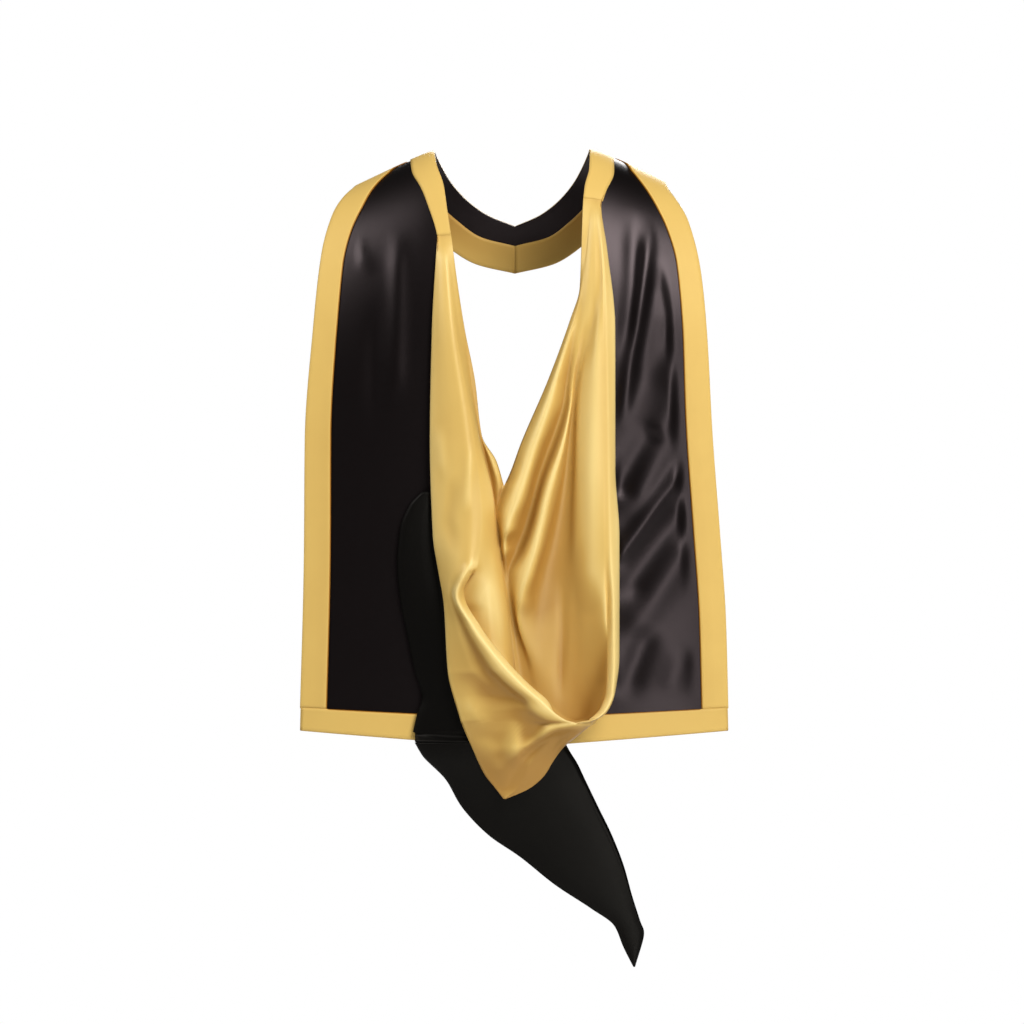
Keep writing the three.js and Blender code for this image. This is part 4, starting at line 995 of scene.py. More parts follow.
@dataclass
class Cowl:
    """The cowl: its gold lining turned out over the lip, the black shell behind and its folds.

    All sizes are in millimetres. x is a share of half, depth a share of depth, both off the back.

    Attributes:
        foot_spread: How much wider the lip's roll is at its lowest point.
        row_closing: How much closer the rows get towards that point, as a share.
        slope_row: Which row from the end gives the slope that the band takes up.
        slope_reach: Distance over which the band lets go of that slope.
        slope_end: The x between which it ends, beside the lip.
        settle_slow, settle_fast: Lip radii in which the band finds its depth, the fast one by the lip.
        fast_at, fast_width: Where it finds it fast, and how wide that place is, as shares of half.
        ease_rows: Rows that are eased over the lip's lowest point, and under it.
        ease_reach: Reach of the easing across and down.
        ease_span: Reaches beyond which a point doesn't count.
        ease_height: Heights from the lip's lowest point between which the easing ends.
        ease_beside_lip: Distances from the lip between which it ends.
        ease_foot: The x that stands for the lip's under its lowest point.
        ease_columns: Columns from the band's edge over which the easing begins.
        curl_rise, curl_end: Shares of the drop between which the right lip curls, and uncurls.
        shade, band_shade: Greatest shade inside the mouth, and on the turned-out side.
        shade_depth: Share of the depth behind the lips that is shaded fully.
        shade_rise, shade_fall: Shares across the mouth between which the shade begins, and ends.
        band_shade_rise: Shares of the drop between which the turned-out side's shade begins.
        lit_x, lit_drop: The x between which the band is lit under the lip, and how far down.
        pouch_columns: Columns beside the lip over which the pouch's bulge fades.
        pouch_run: How early the bulge ends towards the pouch's middle.
        pouch_bulge: Its size in lip radii.
    """

    cape: Cape
    half: float = 100
    depth: float = 66
    lip_drop: float = 578
    band_drop: float = 77
    pouch_bottom: float = 7
    lip_radius: float = 10
    wall: float = 1.2
    foot_spread: float = 1.8
    row_closing: float = 0.72
    slope_row: int = 5
    slope_reach: float = 9
    slope_end: tuple[float, float] = (16, 32)
    settle_slow: float = 7
    settle_fast: float = 1.6
    fast_at: float = 0.58
    fast_width: float = 0.26
    ease_rows: tuple[int, int] = (46, 22)
    ease_reach: tuple[float, float] = (7, 9)
    ease_span: float = 2.6
    ease_height: tuple[float, float] = (8, 30)
    ease_beside_lip: tuple[float, float] = (30, 12)
    ease_foot: float = 46
    ease_columns: int = 5
    curl_reach: float = 0.6
    curl_fall: float = 0.8
    curl_rise: tuple[float, float] = (0.7, 0.85)
    curl_end: tuple[float, float] = (0.992, 1)
    shade: float = 0.22
    shade_depth: float = 0.45
    shade_rise: tuple[float, float] = (0, 0.12)
    shade_fall: tuple[float, float] = (0.55, 0.85)
    band_shade: float = 0.26
    band_shade_rise: tuple[float, float] = (0.8, 0.92)
    lit_x: tuple[float, float] = (26, 44)
    lit_drop: float = 9
    pouch_rows: int = 8
    pouch_columns: int = 12
    pouch_run: float = 1.6
    pouch_bulge: float = 0.8
    near_cape: float = 3.4
    edge_tuck: float = 3
    strap_start: float = 0.5
    strap_level: float = 1.8
    crease: float = 0.733
    crease_end: float = 0.793
    level_start: float = 0.955
    left_top: float = 88
    right_top: float = 50.5
    upper_rows: int = 74
    lower_rows: int = 84
    left_steps: tuple[int, ...] = (2, 7, 7, 6, 5, 6, 6, 7, 8, 5, 4, 3)
    right_steps: tuple[int, ...] = (8, 7, 7, 7, 6, 4, 7, 6, 5, 5, 7, 4)
    left_lip: int = 5
    right_lip: int = 10

    left_lines: dict[str, Table] = field(default_factory=lambda: {
        "edge": Table("drop x depth", [
            (0.166, -0.78, 0.06), (0.325, -0.83, 0.09), (0.515, -0.85, 0.14), (0.68, -0.82, 0.2),
            (0.747, -0.76, 0.24), (0.798, -0.71, 0.3), (0.913, -0.67, 0.36), (1, -0.54, 0.4),
        ]),
        "lip": Table("drop x depth", [
            (0.166, -0.72, 0.09), (0.325, -0.64, 0.25), (0.509, -0.49, 0.36), (0.65, -0.44, 0.48),
            (0.733, -0.46, 0.6), (0.782, -0.58, 0.68), (0.834, -0.43, 0.76), (0.889, -0.19, 0.84),
            (0.933, 0.05, 0.91), (0.965, 0.27, 0.96), (0.984, 0.4, 0.985), (0.995, 0.5, 0.995),
            (1, 0.6, 1),
        ]),
        "pocket": Table("drop x depth", [
            (0.166, -0.69, 0.08), (0.325, -0.59, 0.21), (0.509, -0.41, 0.3), (0.65, -0.32, 0.42),
            (0.733, -0.36, 0.5), (0.792, -0.5, 0.42), (0.834, -0.54, 0.33), (0.933, -0.48, 0.3),
            (1, -0.38, 0.28),
        ]),
        "flank": Table("drop x depth", [
            (0.166, -0.67, 0.07), (0.325, -0.56, 0.15), (0.509, -0.365, 0.19), (0.637, -0.21, 0.2),
            (0.733, -0.22, 0.36), (0.8, -0.25, 0.46), (0.889, -0.19, 0.34), (1, -0.06, 0.2),
        ]),
        "crease": Table("drop x depth", [
            (0.166, -0.655, 0.06), (0.325, -0.535, 0.11), (0.509, -0.345, 0.06), (0.552, -0.285, 0.04),
            (0.595, -0.235, 0.035), (0.637, -0.195, 0.06), (0.69, -0.163, 0.12), (0.733, -0.14, 0.19),
            (0.8, -0.1, 0.24), (0.889, -0.05, 0.2), (1, 0.02, 0.16),
        ]),
        "sliver": Table("drop x depth", [
            (0.166, -0.645, 0.055), (0.325, -0.515, 0.075), (0.509, -0.337, 0.058), (0.552, -0.235, 0.11),
            (0.595, -0.17, 0.1), (0.637, -0.187, 0.063), (0.69, -0.157, 0.105), (0.733, -0.13, 0.15),
            (0.8, -0.075, 0.18), (0.889, -0.018, 0.17), (1, 0.04, 0.145),
        ]),
    })
    right_lines: dict[str, Table] = field(default_factory=lambda: {
        "valley": Table("drop x depth", [
            (0.595, -0.11, 0.06), (0.64, -0.18, 0.07), (0.69, -0.15, 0.1), (0.747, -0.11, 0.14),
            (0.82, -0.05, 0.17), (0.917, 0.01, 0.17), (1, 0.05, 0.14),
        ]),
        "first_ridge": Table("drop x depth", [
            (0.1, 0.76, 0.06), (0.2, 0.7, 0.09), (0.284, 0.625, 0.11), (0.35, 0.51, 0.16),
            (0.412, 0.4, 0.22), (0.453, 0.33, 0.25), (0.495, 0.25, 0.27), (0.538, 0.165, 0.28),
            (0.58, 0.095, 0.3), (0.621, 0.015, 0.33), (0.663, -0.075, 0.34), (0.706, -0.1, 0.22),
            (0.747, -0.085, 0.14), (0.917, 0.06, 0.14), (1, 0.14, 0.13),
        ]),
        "first_valley": Table("drop x depth", [
            (0.1, 0.77, 0.07), (0.284, 0.665, 0.14), (0.35, 0.58, 0.12), (0.412, 0.52, 0.07),
            (0.453, 0.49, 0.05), (0.495, 0.42, 0.04), (0.538, 0.33, 0.04), (0.58, 0.245, 0.04),
            (0.621, 0.185, 0.05), (0.663, 0.12, 0.07), (0.706, 0.03, 0.09), (0.747, -0.055, 0.13),
            (0.789, -0.03, 0.16), (0.917, 0.13, 0.15), (1, 0.22, 0.14),
        ]),
        "second_ridge": Table("drop x depth", [
            (0.1, 0.78, 0.08), (0.284, 0.7, 0.17), (0.35, 0.635, 0.14), (0.412, 0.575, 0.1),
            (0.453, 0.555, 0.13), (0.495, 0.515, 0.19), (0.538, 0.455, 0.26), (0.58, 0.375, 0.32),
            (0.621, 0.305, 0.37), (0.663, 0.25, 0.4), (0.706, 0.19, 0.42), (0.747, 0.12, 0.41),
            (0.789, 0.05, 0.36), (0.82, 0.03, 0.28), (0.917, 0.2, 0.18), (1, 0.3, 0.15),
        ]),
        "deep_fold": Table("drop x depth", [
            (0.1, 0.79, 0.09), (0.284, 0.735, 0.19), (0.35, 0.68, 0.14), (0.412, 0.61, 0.07),
            (0.453, 0.585, 0.05), (0.495, 0.55, 0.045), (0.538, 0.52, 0.045), (0.58, 0.49, 0.045),
            (0.621, 0.45, 0.05), (0.663, 0.4, 0.06), (0.706, 0.34, 0.08), (0.747, 0.28, 0.11),
            (0.789, 0.24, 0.15), (0.85, 0.27, 0.18), (0.917, 0.33, 0.18), (1, 0.4, 0.15),
        ]),
        "foot": Table("drop x depth", [
            (0.1, 0.8, 0.1), (0.284, 0.765, 0.2), (0.35, 0.71, 0.16), (0.412, 0.635, 0.09),
            (0.495, 0.59, 0.06), (0.58, 0.56, 0.055), (0.663, 0.53, 0.06), (0.747, 0.5, 0.1),
            (0.82, 0.5, 0.15), (0.917, 0.48, 0.16), (1, 0.5, 0.15),
        ]),
        "shoulder": Table("drop x depth", [
            (0.1, 0.805, 0.1), (0.284, 0.79, 0.21), (0.35, 0.74, 0.2), (0.412, 0.68, 0.21),
            (0.495, 0.64, 0.22), (0.58, 0.625, 0.23), (0.663, 0.615, 0.23), (0.747, 0.61, 0.21),
            (0.82, 0.61, 0.19), (0.917, 0.62, 0.18), (1, 0.6, 0.16),
        ]),
        "middle": Table("drop x depth", [
            (0.1, 0.81, 0.11), (0.24, 0.85, 0.22), (0.412, 0.79, 0.37), (0.6, 0.76, 0.44),
            (0.74, 0.76, 0.44), (0.82, 0.78, 0.38), (0.93, 0.78, 0.28), (1, 0.74, 0.2),
        ]),
        "back": Table("drop x depth", [
            (0.1, 0.817, 0.11), (0.24, 0.875, 0.25), (0.412, 0.87, 0.37), (0.6, 0.87, 0.46),
            (0.74, 0.875, 0.52), (0.82, 0.9, 0.56), (0.93, 0.9, 0.46), (1, 0.8, 0.32),
        ]),
        "lip": Table("drop x depth", [
            (0.1, 0.83, 0.1), (0.24, 0.9, 0.25), (0.412, 0.93, 0.36), (0.6, 0.945, 0.45),
            (0.74, 0.96, 0.56), (0.79, 0.975, 0.62), (0.89, 0.98, 0.76), (0.95, 0.965, 0.87),
            (0.976, 0.91, 0.94), (0.99, 0.83, 0.975), (0.997, 0.73, 0.99), (1, 0.6, 1),
        ]),
        "edge": Table("drop x depth", [
            (0.087, 0.9, 0.06), (0.106, 0.866, 0.06), (0.182, 0.92, 0.13), (0.325, 1, 0.21),
            (0.567, 1, 0.28), (0.68, 1.04, 0.34), (0.888, 1.037, 0.52), (0.95, 0.99, 0.66),
            (0.984, 0.9, 0.78), (1, 0.76, 0.84),
        ]),
        "hem": Table("drop x depth", [
            (0.087, 0.899, 0.045), (0.106, 0.865, 0.045), (0.325, 0.95, 0.06), (0.567, 0.95, 0.08),
            (0.79, 0.98, 0.16), (0.888, 0.98, 0.3), (0.95, 0.94, 0.46), (1, 0.735, 0.68),
        ]),
    })
    band_knots: tuple[tuple[float, ...], ...] = (
        (0.7, 0.48, 0.62, 0.6, 3.8, 2.35),
        (0.4, 0.17, 0.36, 0.45, 2.1, 1.5),
        (0.15, 0.03, 0.2, 0.2, 1.2, 0.4),
    )
    inner_knots: tuple[tuple[float, ...], ...] = (
        (0.4, 0.2, 0.8, 0.75, -0.5, 0.375), (0.75, 0.6, -0.1, 2, -1.4, 1.4),
    )
    band: Table = field(default_factory=lambda: Table("drop left right edge crest right_depth crest_at", [
        (0, -0.54, 0.76, 0.4, 0.9, 0.84, 0.86),
        (0.16, -0.5, 0.64, 0.4, 0.78, 0.68, 0.82),
        (0.32, -0.45, 0.49, 0.4, 0.7, 0.57, 0.78),
        (0.5, -0.385, 0.385, 0.4, 0.62, 0.52, 0.73),
        (0.7, -0.3, 0.29, 0.4, 0.53, 0.47, 0.68),
        (0.86, -0.2, 0.15, 0.4, 0.46, 0.43, 0.64),
        (1, -0.115, -0.085, 0.4, 0.42, 0.41, 0.6),
    ]))
    band_rows: int = 40
    folds: tuple[Fold, ...] = (
        Fold(((-35, -420), (-48, -426), (-58, -441)), 3.5, 2.4, 0.3),
        Fold(((-43, -300), (-47, -340), (-50, -375)), 5, 1.6, 0.3),
        Fold(((-60, -330), (-66, -380), (-58, -415)), 7, -1.4, 0.3),
        Fold(((-78, -280), (-72, -340)), 6, 1.2, 0.4),
        Fold(((-5, -389), (-4, -408)), 4.5, -3.0, 0.4),
        Fold(((-14, -400), (-10, -418)), 4.5, 2.2, 0.4),
        Fold(((48, -425), (48, -490), (46, -560)), 4, -1.8, 0.3),
        Fold(((-54, -535), (-42, -562), (-28, -595)), 8, 2.2, 0.4),
        Fold(((-2, -572), (1, -600), (-2, -626)), 7, 1.9, 0.4),
        Fold(((11, -582), (8, -620)), 7, -1.7, 0.4),
        Fold(((-18, -585), (-14, -628)), 8, -1.7, 0.4),
        Fold(((46, -577), (30, -595)), 7, -1.5, 0.4),
    )

    def point(self, x: float, depth: float, drop: float) -> Vector:
        """Returns a point of the cowl from its depth off the line of the back."""
        return Vector((x, self.cape.form.back_y(x, -drop) - depth, -drop))

    def on_line(self, line: Table, drop: float) -> tuple[float, float]:
        """Returns x and depth of a line at a drop."""
        share = drop / self.lip_drop
        return self.half * line.at("x", share), self.depth * line.at("depth", share)

    def valley(self, side: Side, drop: float) -> tuple[float, float]:
        """Returns the inner end of a half: the neckline above its point, the valley below."""
        if drop < self.cape.v_drop:
            return self.cape.neck_x(side, drop), self.near_cape
        return self.on_line(self.right_lines["valley"], drop)

    def left_knots(self, drop: float) -> list[tuple[float, float]]:
        """Returns the knots (x, depth) across the left half, from the band's edge to the valley."""
        share = drop / self.lip_drop
        edge, lip = (self.on_line(self.left_lines[name], drop) for name in ("edge", "lip"))
        pocket = self.on_line(self.left_lines["pocket"], drop)
        roll = smooth(share, self.crease, self.crease_end)
        upright = 1 - smooth(share, self.level_start, 1)
        spread = mix(self.foot_spread, 1, upright)
        width = lip[0] - edge[0]
        height = lip[1] - edge[1]
        r = self.lip_radius
        outside = [
            (
                lip[0] - mix(width * flat_back, min(width * roll_back, r * reach * spread), roll),
                lip[1] - mix(height * flat_down, min(height * roll_down, r * fall), roll),
            )
            for flat_back, flat_down, roll_back, roll_down, reach, fall in self.band_knots
        ]
        inside = [
            (
                mix(mix(lip[0], pocket[0], to_pocket), lip[0] + r * mix(low_x, high_x, upright), roll),
                mix(mix(lip[1], pocket[1], sink), lip[1] - r * mix(low_y, high_y, upright), roll),
            )
            for to_pocket, sink, high_x, high_y, low_x, low_y in self.inner_knots
        ]
        turned = self.edge_tuck * smooth(drop, self.left_top + 5, self.left_top + 30)
        tuck = (edge[0] + turned, max(edge[1] - turned, self.near_cape))
        inner = [self.on_line(self.left_lines[name], drop) for name in ("flank", "crease", "sliver")]
        return [tuck, edge, *outside, lip, *inside, pocket, *inner, self.valley(Side.LEFT, drop)]

    def right_knots(self, drop: float) -> list[tuple[float, float]]:
        """Returns the knots (x, depth) across the right half, from the valley to its free edge."""
        names = [name for name in self.right_lines if name != "valley"]
        knots = [self.on_line(self.right_lines[name], drop) for name in names]
        knots.insert(0, self.valley(Side.RIGHT, drop))
        back, lip = knots[-4], knots[-3]
        share = drop / self.lip_drop
        rolled = smooth(share, *self.curl_rise) * (1 - smooth(share, *self.curl_end))
        flat = (mix(back[0], lip[0], 0.5), mix(back[1], lip[1], 0.55))
        curl = (lip[0] - self.lip_radius * self.curl_reach, lip[1] - self.lip_radius * self.curl_fall)
        knots.insert(-3, (mix(flat[0], curl[0], rolled), mix(flat[1], curl[1], rolled)))
        return knots

    def flush(self, side: Side, drop: float, depth: float) -> float:
        """Returns a depth that settles onto the neckband's level at the top of a half."""
        top = self.left_top if side is Side.LEFT else self.right_top
        level = mix(self.strap_start, self.strap_level, smooth(drop, top + 3, top + 15))
        return mix(level, depth, smooth(drop, top + 5, top + 30))

    def section(self, side: Side, drop: float) -> list[Vector]:
        """Returns the smooth row of one half at a drop."""
        knots = self.left_knots(drop) if side is Side.LEFT else self.right_knots(drop)
        steps = self.left_steps if side is Side.LEFT else self.right_steps
        return through([self.point(x, self.flush(side, drop, depth), drop) for x, depth in knots], steps)

    def fold_up(self, point: Vector) -> Vector:
        """Returns a point of the lining moved by the folds that run over it."""
        return Vector((point.x, point.y - relief(self.folds, point.x, point.z), point.z))

    def rows(self, side: Side) -> list[list[Vector]]:
        """Returns all rows of one half of the lining, from its top to the lip's lowest point."""
        top = self.left_top if side is Side.LEFT else self.right_top
        drops = [mix(top, self.cape.v_drop, i / self.upper_rows) for i in range(self.upper_rows)]
        for i in range(self.lower_rows + 1):
            share = i / self.lower_rows
            closer = mix(share, math.sin(math.pi / 2 * share), self.row_closing)
            drops.append(mix(self.cape.v_drop, self.lip_drop, closer))
        return [self.section(side, drop) for drop in drops]

    def depth_of(self, point: Vector) -> float:
        """Returns the depth of a point off the line of the back."""
        return self.cape.form.back_y(point.x, point.z) - point.y

    def depth_at(self, x: float, row: Sequence[Vector]) -> float:
        """Returns the depth of a row of points where it passes an x."""
        for near, far in zip(row, row[1:]):
            if near.x <= x <= far.x:
                y = mix(near.y, far.y, (x - near.x) / max(far.x - near.x, 0.001))
                return self.cape.form.back_y(x, near.z) - y
        end = row[0] if x < row[0].x else row[-1]
        return self.cape.form.back_y(x, end.z) - end.y

    def band_below(self, top: list[Vector], above: Sequence[Vector]) -> list[list[Vector]]:
        """Returns the rows of the turned-out band, from the row that both lips end in.

        Args:
            top: The row that both lips end in.
            above: A row of the turned-out side a little over it.

        Returns:
            The rows from the top to the band's point.
        """
        first, last = self.left_steps[0], len(top) - 1
        start, end = top[first], top[last]
        fall = above[0].z - top[0].z
        rows = [top]
        for k in range(1, self.band_rows + 1):
            at = k / self.band_rows
            run = at * self.band_drop
            left, right, edge, crest, right_depth, crest_at = (
                self.band.at(name, at) for name in self.band.names[1:]
            )
            below = run / self.lip_radius
            row = []
            for i, point in enumerate(top):
                share = mix((point.x - start.x) / (end.x - start.x), (i - first) / (last - first), at)
                spread = mix(share, i / last, at)
                x = self.half * mix(left, right, spread)
                if spread < crest_at:
                    along = max(spread, 0) / crest_at
                    rise = mix(edge, crest, mix(along, math.sin(along * math.pi / 2), 0.4))
                else:
                    rise = mix(crest, right_depth, (spread - crest_at) / (1 - crest_at))
                tuck = self.edge_tuck * (1 - at) * (1 - clamp(i / first))
                near_lip = math.exp(-((point.x / self.half - self.fast_at) / self.fast_width) ** 2)
                settle = smooth(below, 0, mix(self.settle_slow, self.settle_fast, near_lip))
                depth = mix(self.depth_of(point), self.depth * rise - tuck, settle)
                slope = (self.depth_at(x, top[first:]) - self.depth_at(x, above)) / fall
                carried = math.exp(-run / self.slope_reach) * (1 - smooth(x, *self.slope_end))
                depth += slope * run * carried
                row.append(self.point(x + tuck, depth, self.lip_drop + run))
            rows.append(row)
        return rows

    def ease_over(self, rows: Sequence[list[Vector]], last: int) -> None:
        """Evens the turned-out side where it goes over into the band, by the distances between points.

        Each point moves towards the plane that fits the points round it best.

        Args:
            rows: Rows down the turned-out side and the band, changed in place.
            last: Column of the lip.
        """
        first = self.left_steps[0]
        spots = []
        for above, row, below in zip(rows, rows[1:], rows[2:]):
            tall = above[first].z - below[first].z
            limit = row[last].x if row[first].z > -self.lip_drop else self.ease_foot
            for i in range(first, last):
                size = tall * (row[i + 1].x - row[i].x)
                spots.append((row[i], self.depth_of(row[i]), size, i - first, limit))
        eased = [(point, mix(depth, self._plane_depth(point, spots), share))
                 for point, depth, _, column, limit in spots
                 if (share := self._ease_share(point, column, limit)) > 0]
        for point, depth in eased:
            point.y = self.cape.form.back_y(point.x, point.z) - depth

    def _ease_share(self, point: Vector, column: int, limit: float) -> float:
        """Returns how far a point is eased, by its column and by the x where the lip begins."""
        far, near = self.ease_beside_lip
        share = 1 - smooth(abs(point.z + self.lip_drop), *self.ease_height)
        share *= 1 - smooth(point.x, limit - far, limit - near)
        return share * smooth(column, 0, self.ease_columns)

    def _plane_depth(self, point: Vector, spots: Sequence[tuple]) -> float:
        """Returns the depth at a point of the plane that fits the spots round it best.

        Args:
            point: The place.
            spots: Points with their depth and the size of the cloth each stands for.

        Returns:
            The plane's depth there.
        """
        reach_x, reach_z = self.ease_reach
        matrix = Matrix.Diagonal((1e-9, 1e-9, 1e-9))
        totals = Vector((0, 0, 0))
        for spot, depth, size, _, _ in spots:
            dx, dz = (spot.x - point.x) / reach_x, (spot.z - point.z) / reach_z
            if abs(dx) < self.ease_span and abs(dz) < self.ease_span:
                terms = Vector((1, dx, dz))
                weight = size * math.exp(-(dx * dx + dz * dz) / 2)
                totals += terms * (weight * depth)
                matrix += Matrix([terms * (weight * term) for term in terms])
        return (matrix.inverted() @ totals)[0]

    def make_lining(self, finishes: Finishes) -> bpy.types.Object:
        """Builds the lining: both columns, the inner wall, the pouch, the lip and the band.

        Returns:
            The finished piece.
        """
        cloth = Cloth("cowl_lining_cloth")
        left, right = self.rows(Side.LEFT), self.rows(Side.RIGHT)
        left_end, right_end = left[-1], right[-1]
        left_lip = sum(self.left_steps[:self.left_lip])
        right_lip = sum(self.right_steps[:self.right_lip])
        outer = [*left_end[:left_lip + 1], *right_end[right_lip + 1:]]
        band = self.band_below(outer, left[-self.slope_row][self.left_steps[0]:left_lip + 1])
        self.ease_over([*left[-self.ease_rows[0]:], *band[1:self.ease_rows[1]]], left_lip)
        for rows, start in ((left, 0.0), (right, 0.24)):
            self._add(cloth, rows, (0.24, 0.6), (start, 0))
        self._add(cloth, band, (0.24, 0.1), (0, -0.6))
        inner = [*left_end[left_lip:], *right_end[1:right_lip + 1]]
        self._add(cloth, self.pouch(inner), (0.3, 0.05), (0.1, -0.6))
        # Painted shade inside the mouth, and on the band under the lip.
        cloth.recess_shade = self.recess_shade
        # The rims take the cut-edge finish, which is painted shade.
        return cloth.finish([finishes.gold, finishes.gold_edge], self.wall, Slot.GOLD, "cowl_lining")

    def recess_shade(self, point: Vector) -> float:
        """Returns the shade of a point: behind the mouth's two lips, or on the band under them."""
        drop = -point.z
        if drop > self.lip_drop:
            near_lip = 1 - smooth(drop, self.lip_drop, self.lip_drop + self.lit_drop)
            return self.band_shade * (1 - smooth(point.x, *self.lit_x) * near_lip)
        start, end = (self.on_line(lines["lip"], drop) for lines in (self.left_lines, self.right_lines))
        if point.x < start[0] - self.lip_radius:
            clear = 1 - smooth(point.x, start[0] - 3 * self.lip_radius, start[0] - self.lip_radius)
            return self.band_shade * clear * smooth(drop / self.lip_drop, *self.band_shade_rise)
        if not start[0] < point.x < end[0]:
            return 0.0
        share = (point.x - start[0]) / (end[0] - start[0])
        behind = mix(start[1], end[1], share) - self.depth_of(point)
        across = smooth(share, *self.shade_rise) * (1 - smooth(share, *self.shade_fall))
        return self.shade * clamp(behind / self.depth / self.shade_depth) * across

    def _add(self, cloth: Cloth, rows: list[list[Vector]], size: tuple[float, float],
             start: tuple[float, float]) -> None:
        """Adds rows of points to a cloth as one grid."""
        cloth.grid(len(rows[0]) - 1, len(rows) - 1, lambda column, row: self.fold_up(rows[row][column]),
                   size, start)

    def pouch(self, ring: list[Vector]) -> list[list[Vector]]:
        """Returns the rows of the pouch's bottom, from its ring to its middle."""
        centre = sum(ring[1:], Vector()) / (len(ring) - 1)
        last = len(ring) - 1
        rows = [ring]
        for k in range(1, self.pouch_rows + 1):
            at = k / self.pouch_rows
            bulge = math.sin(math.pi * min(at * self.pouch_run, 1))
            row = []
            for i, point in enumerate(ring):
                near_lip = 1 - clamp(min(i, last - i) / self.pouch_columns)
                moved = point.lerp(centre, at ** 2)
                moved.y += self.lip_radius * near_lip * bulge * self.pouch_bulge
                moved.z = -self.lip_drop - self.pouch_bottom * math.sin(math.pi / 2 * at)
                row.append(moved)
            rows.append(row)
        return rows


@dataclass
class Shell:
    """The black outer cloth of the cowl, which folds forward on the left, and the tail below it.

    Attributes:
        on_cape, on_hem: Gap behind the shell over the cape, and lower down over the hem's binding.
        over_hem: Shares of the drop between which it goes over from the one to the other.
        under_band, beside_band: Gaps between the shell's front and the turned-out band.
        seam_turn: How far the shell's last knot goes round the tail's top, as a share.
        join_rows: Rows between the shell's last row and the tail's seam.
        knot_steps: Faces between two knots of a row.
    """

    cowl: Cowl
    on_cape: float = 0.5
    on_hem: float = 1.9
    over_hem: tuple[float, float] = (0.9, 0.98)
    under_band: float = 4
    beside_band: float = 3.6
    fold_round: float = 7
    seam_gap: float = 1.2
    seam_drop: float = 600
    seam_turn: float = 0.7
    join_rows: int = 5
    knot_steps: int = 5
    tail_drop: float = 224
    tail_top_depth: float = 24
    tail_thickness: float = 5
    tail_rest: float = 8
    tail_fullness: float = 0.6
    back_steps: int = 7
    front_steps: int = 5
    shell_rows: int = 90
    tail_rows: int = 90
    wall: float = 1.2
    rows: Table = field(default_factory=lambda: Table("drop fold right front", [
        (0.605, -0.93, 0.9, 0.12), (0.63, -1.06, 0.9, 0.14), (0.67, -1.15, 0.9, 0.16),
        (0.73, -1.18, 0.91, 0.18), (0.79, -1.15, 0.93, 0.15), (0.85, -1.08, 0.92, 0.22),
        (0.91, -1.01, 0.88, 0.18), (0.96, -0.93, 0.76, 0.12), (0.99, -0.98, 0.6, 0.08),
        (1.02, -1.02, 0.5, 0.08),
    ]))
    tail: Table = field(default_factory=lambda: Table("row left_drop left right_drop right flat", [
        (0, 0, -1, 0, 0.5, 0), (1, 0.06, -0.92, 0.04, 0.55, 0.15), (2, 0.165, -0.69, 0.09, 0.62, 0.4),
        (3, 0.281, -0.54, 0.165, 0.7, 0.65), (4, 0.41, -0.27, 0.286, 0.83, 0.85),
        (5, 0.509, 0.05, 0.415, 0.97, 1), (6, 0.634, 0.4, 0.554, 1.09, 1),
        (7, 0.737, 0.75, 0.683, 1.17, 1), (8, 0.817, 0.99, 0.795, 1.25, 1),
        (9, 0.911, 1.08, 0.853, 1.29, 1), (10, 1, 1.18, 1, 1.2, 1),
    ]))

    def band_depth(self, x: float, drop: float) -> float:
        """Returns the depth of the turned-out band's outside at an x left of the lip."""
        knots = self.cowl.left_knots(drop)[1:self.cowl.left_lip + 1]
        for a, b in zip(knots, knots[1:]):
            if x <= b[0]:
                return mix(a[1], b[1], (x - a[0]) / (b[0] - a[0]))
        return knots[-1][1]

    def shell_row(self, share: float) -> list[Vector]:
        """Returns one row of the shell, along the cape to the fold and forward under the band."""
        cowl = self.cowl
        drop = share * cowl.lip_drop
        edge = cowl.on_line(cowl.left_lines["edge"], drop)
        lip = cowl.on_line(cowl.left_lines["lip"], drop)
        fold_x = self.rows.at("fold", share) * cowl.half
        right_x = self.rows.at("right", share) * cowl.half
        back = mix(self.on_cape, self.on_hem, smooth(share, *self.over_hem))
        row = [
            cowl.point(mix(right_x, fold_x + self.fold_round, i / self.back_steps), back, drop)
            for i in range(self.back_steps)
        ]
        for angle in (-45, 0, 45):
            turn = math.radians(angle)
            x = fold_x + self.fold_round * (1 - math.cos(turn))
            row.append(cowl.point(x, back + self.fold_round / 2 * (1 + math.sin(turn)), drop))
        beside = edge[1] - cowl.edge_tuck - self.beside_band
        front = self.rows.at("front", share)
        end = max(mix(edge[0], lip[0], front), edge[0] + 2 * cowl.edge_tuck)
        middle_x = (fold_x + self.fold_round + edge[0]) / 2
        row.append(cowl.point(middle_x, (back + self.fold_round + beside) / 2, drop))
        row.append(cowl.point(edge[0] + cowl.edge_tuck, beside, drop))
        row.append(cowl.point(end, max(self.band_depth(end, drop) - self.under_band, beside), drop))
        return row

    def tail_row(self, row: float) -> list[Vector]:
        """Returns one row of the tail's tube: its back from right to left, then its front."""
        at = {name: self.tail.at(name, row) for name in self.tail.names[1:]}
        flat = smooth(at["flat"], 0, 1)
        middle = mix(self.on_hem + self.tail_top_depth / 2, self.tail_rest, flat)
        half = mix(self.tail_top_depth, self.tail_thickness, flat) / 2
        points = []
        for i in range(self.back_steps + self.front_steps + 1):
            behind = i <= self.back_steps
            share = 1 - i / self.back_steps if behind else (i - self.back_steps) / self.front_steps
            bulge = max(math.sin(math.pi * share), 0) ** self.tail_fullness
            x = self.cowl.half * mix(at["left"], at["right"], share)
            drop = self.seam_drop + self.tail_drop * mix(at["left_drop"], at["right_drop"], share)
            points.append(self.cowl.point(x, middle + (-half if behind else half) * bulge, drop))
        return points

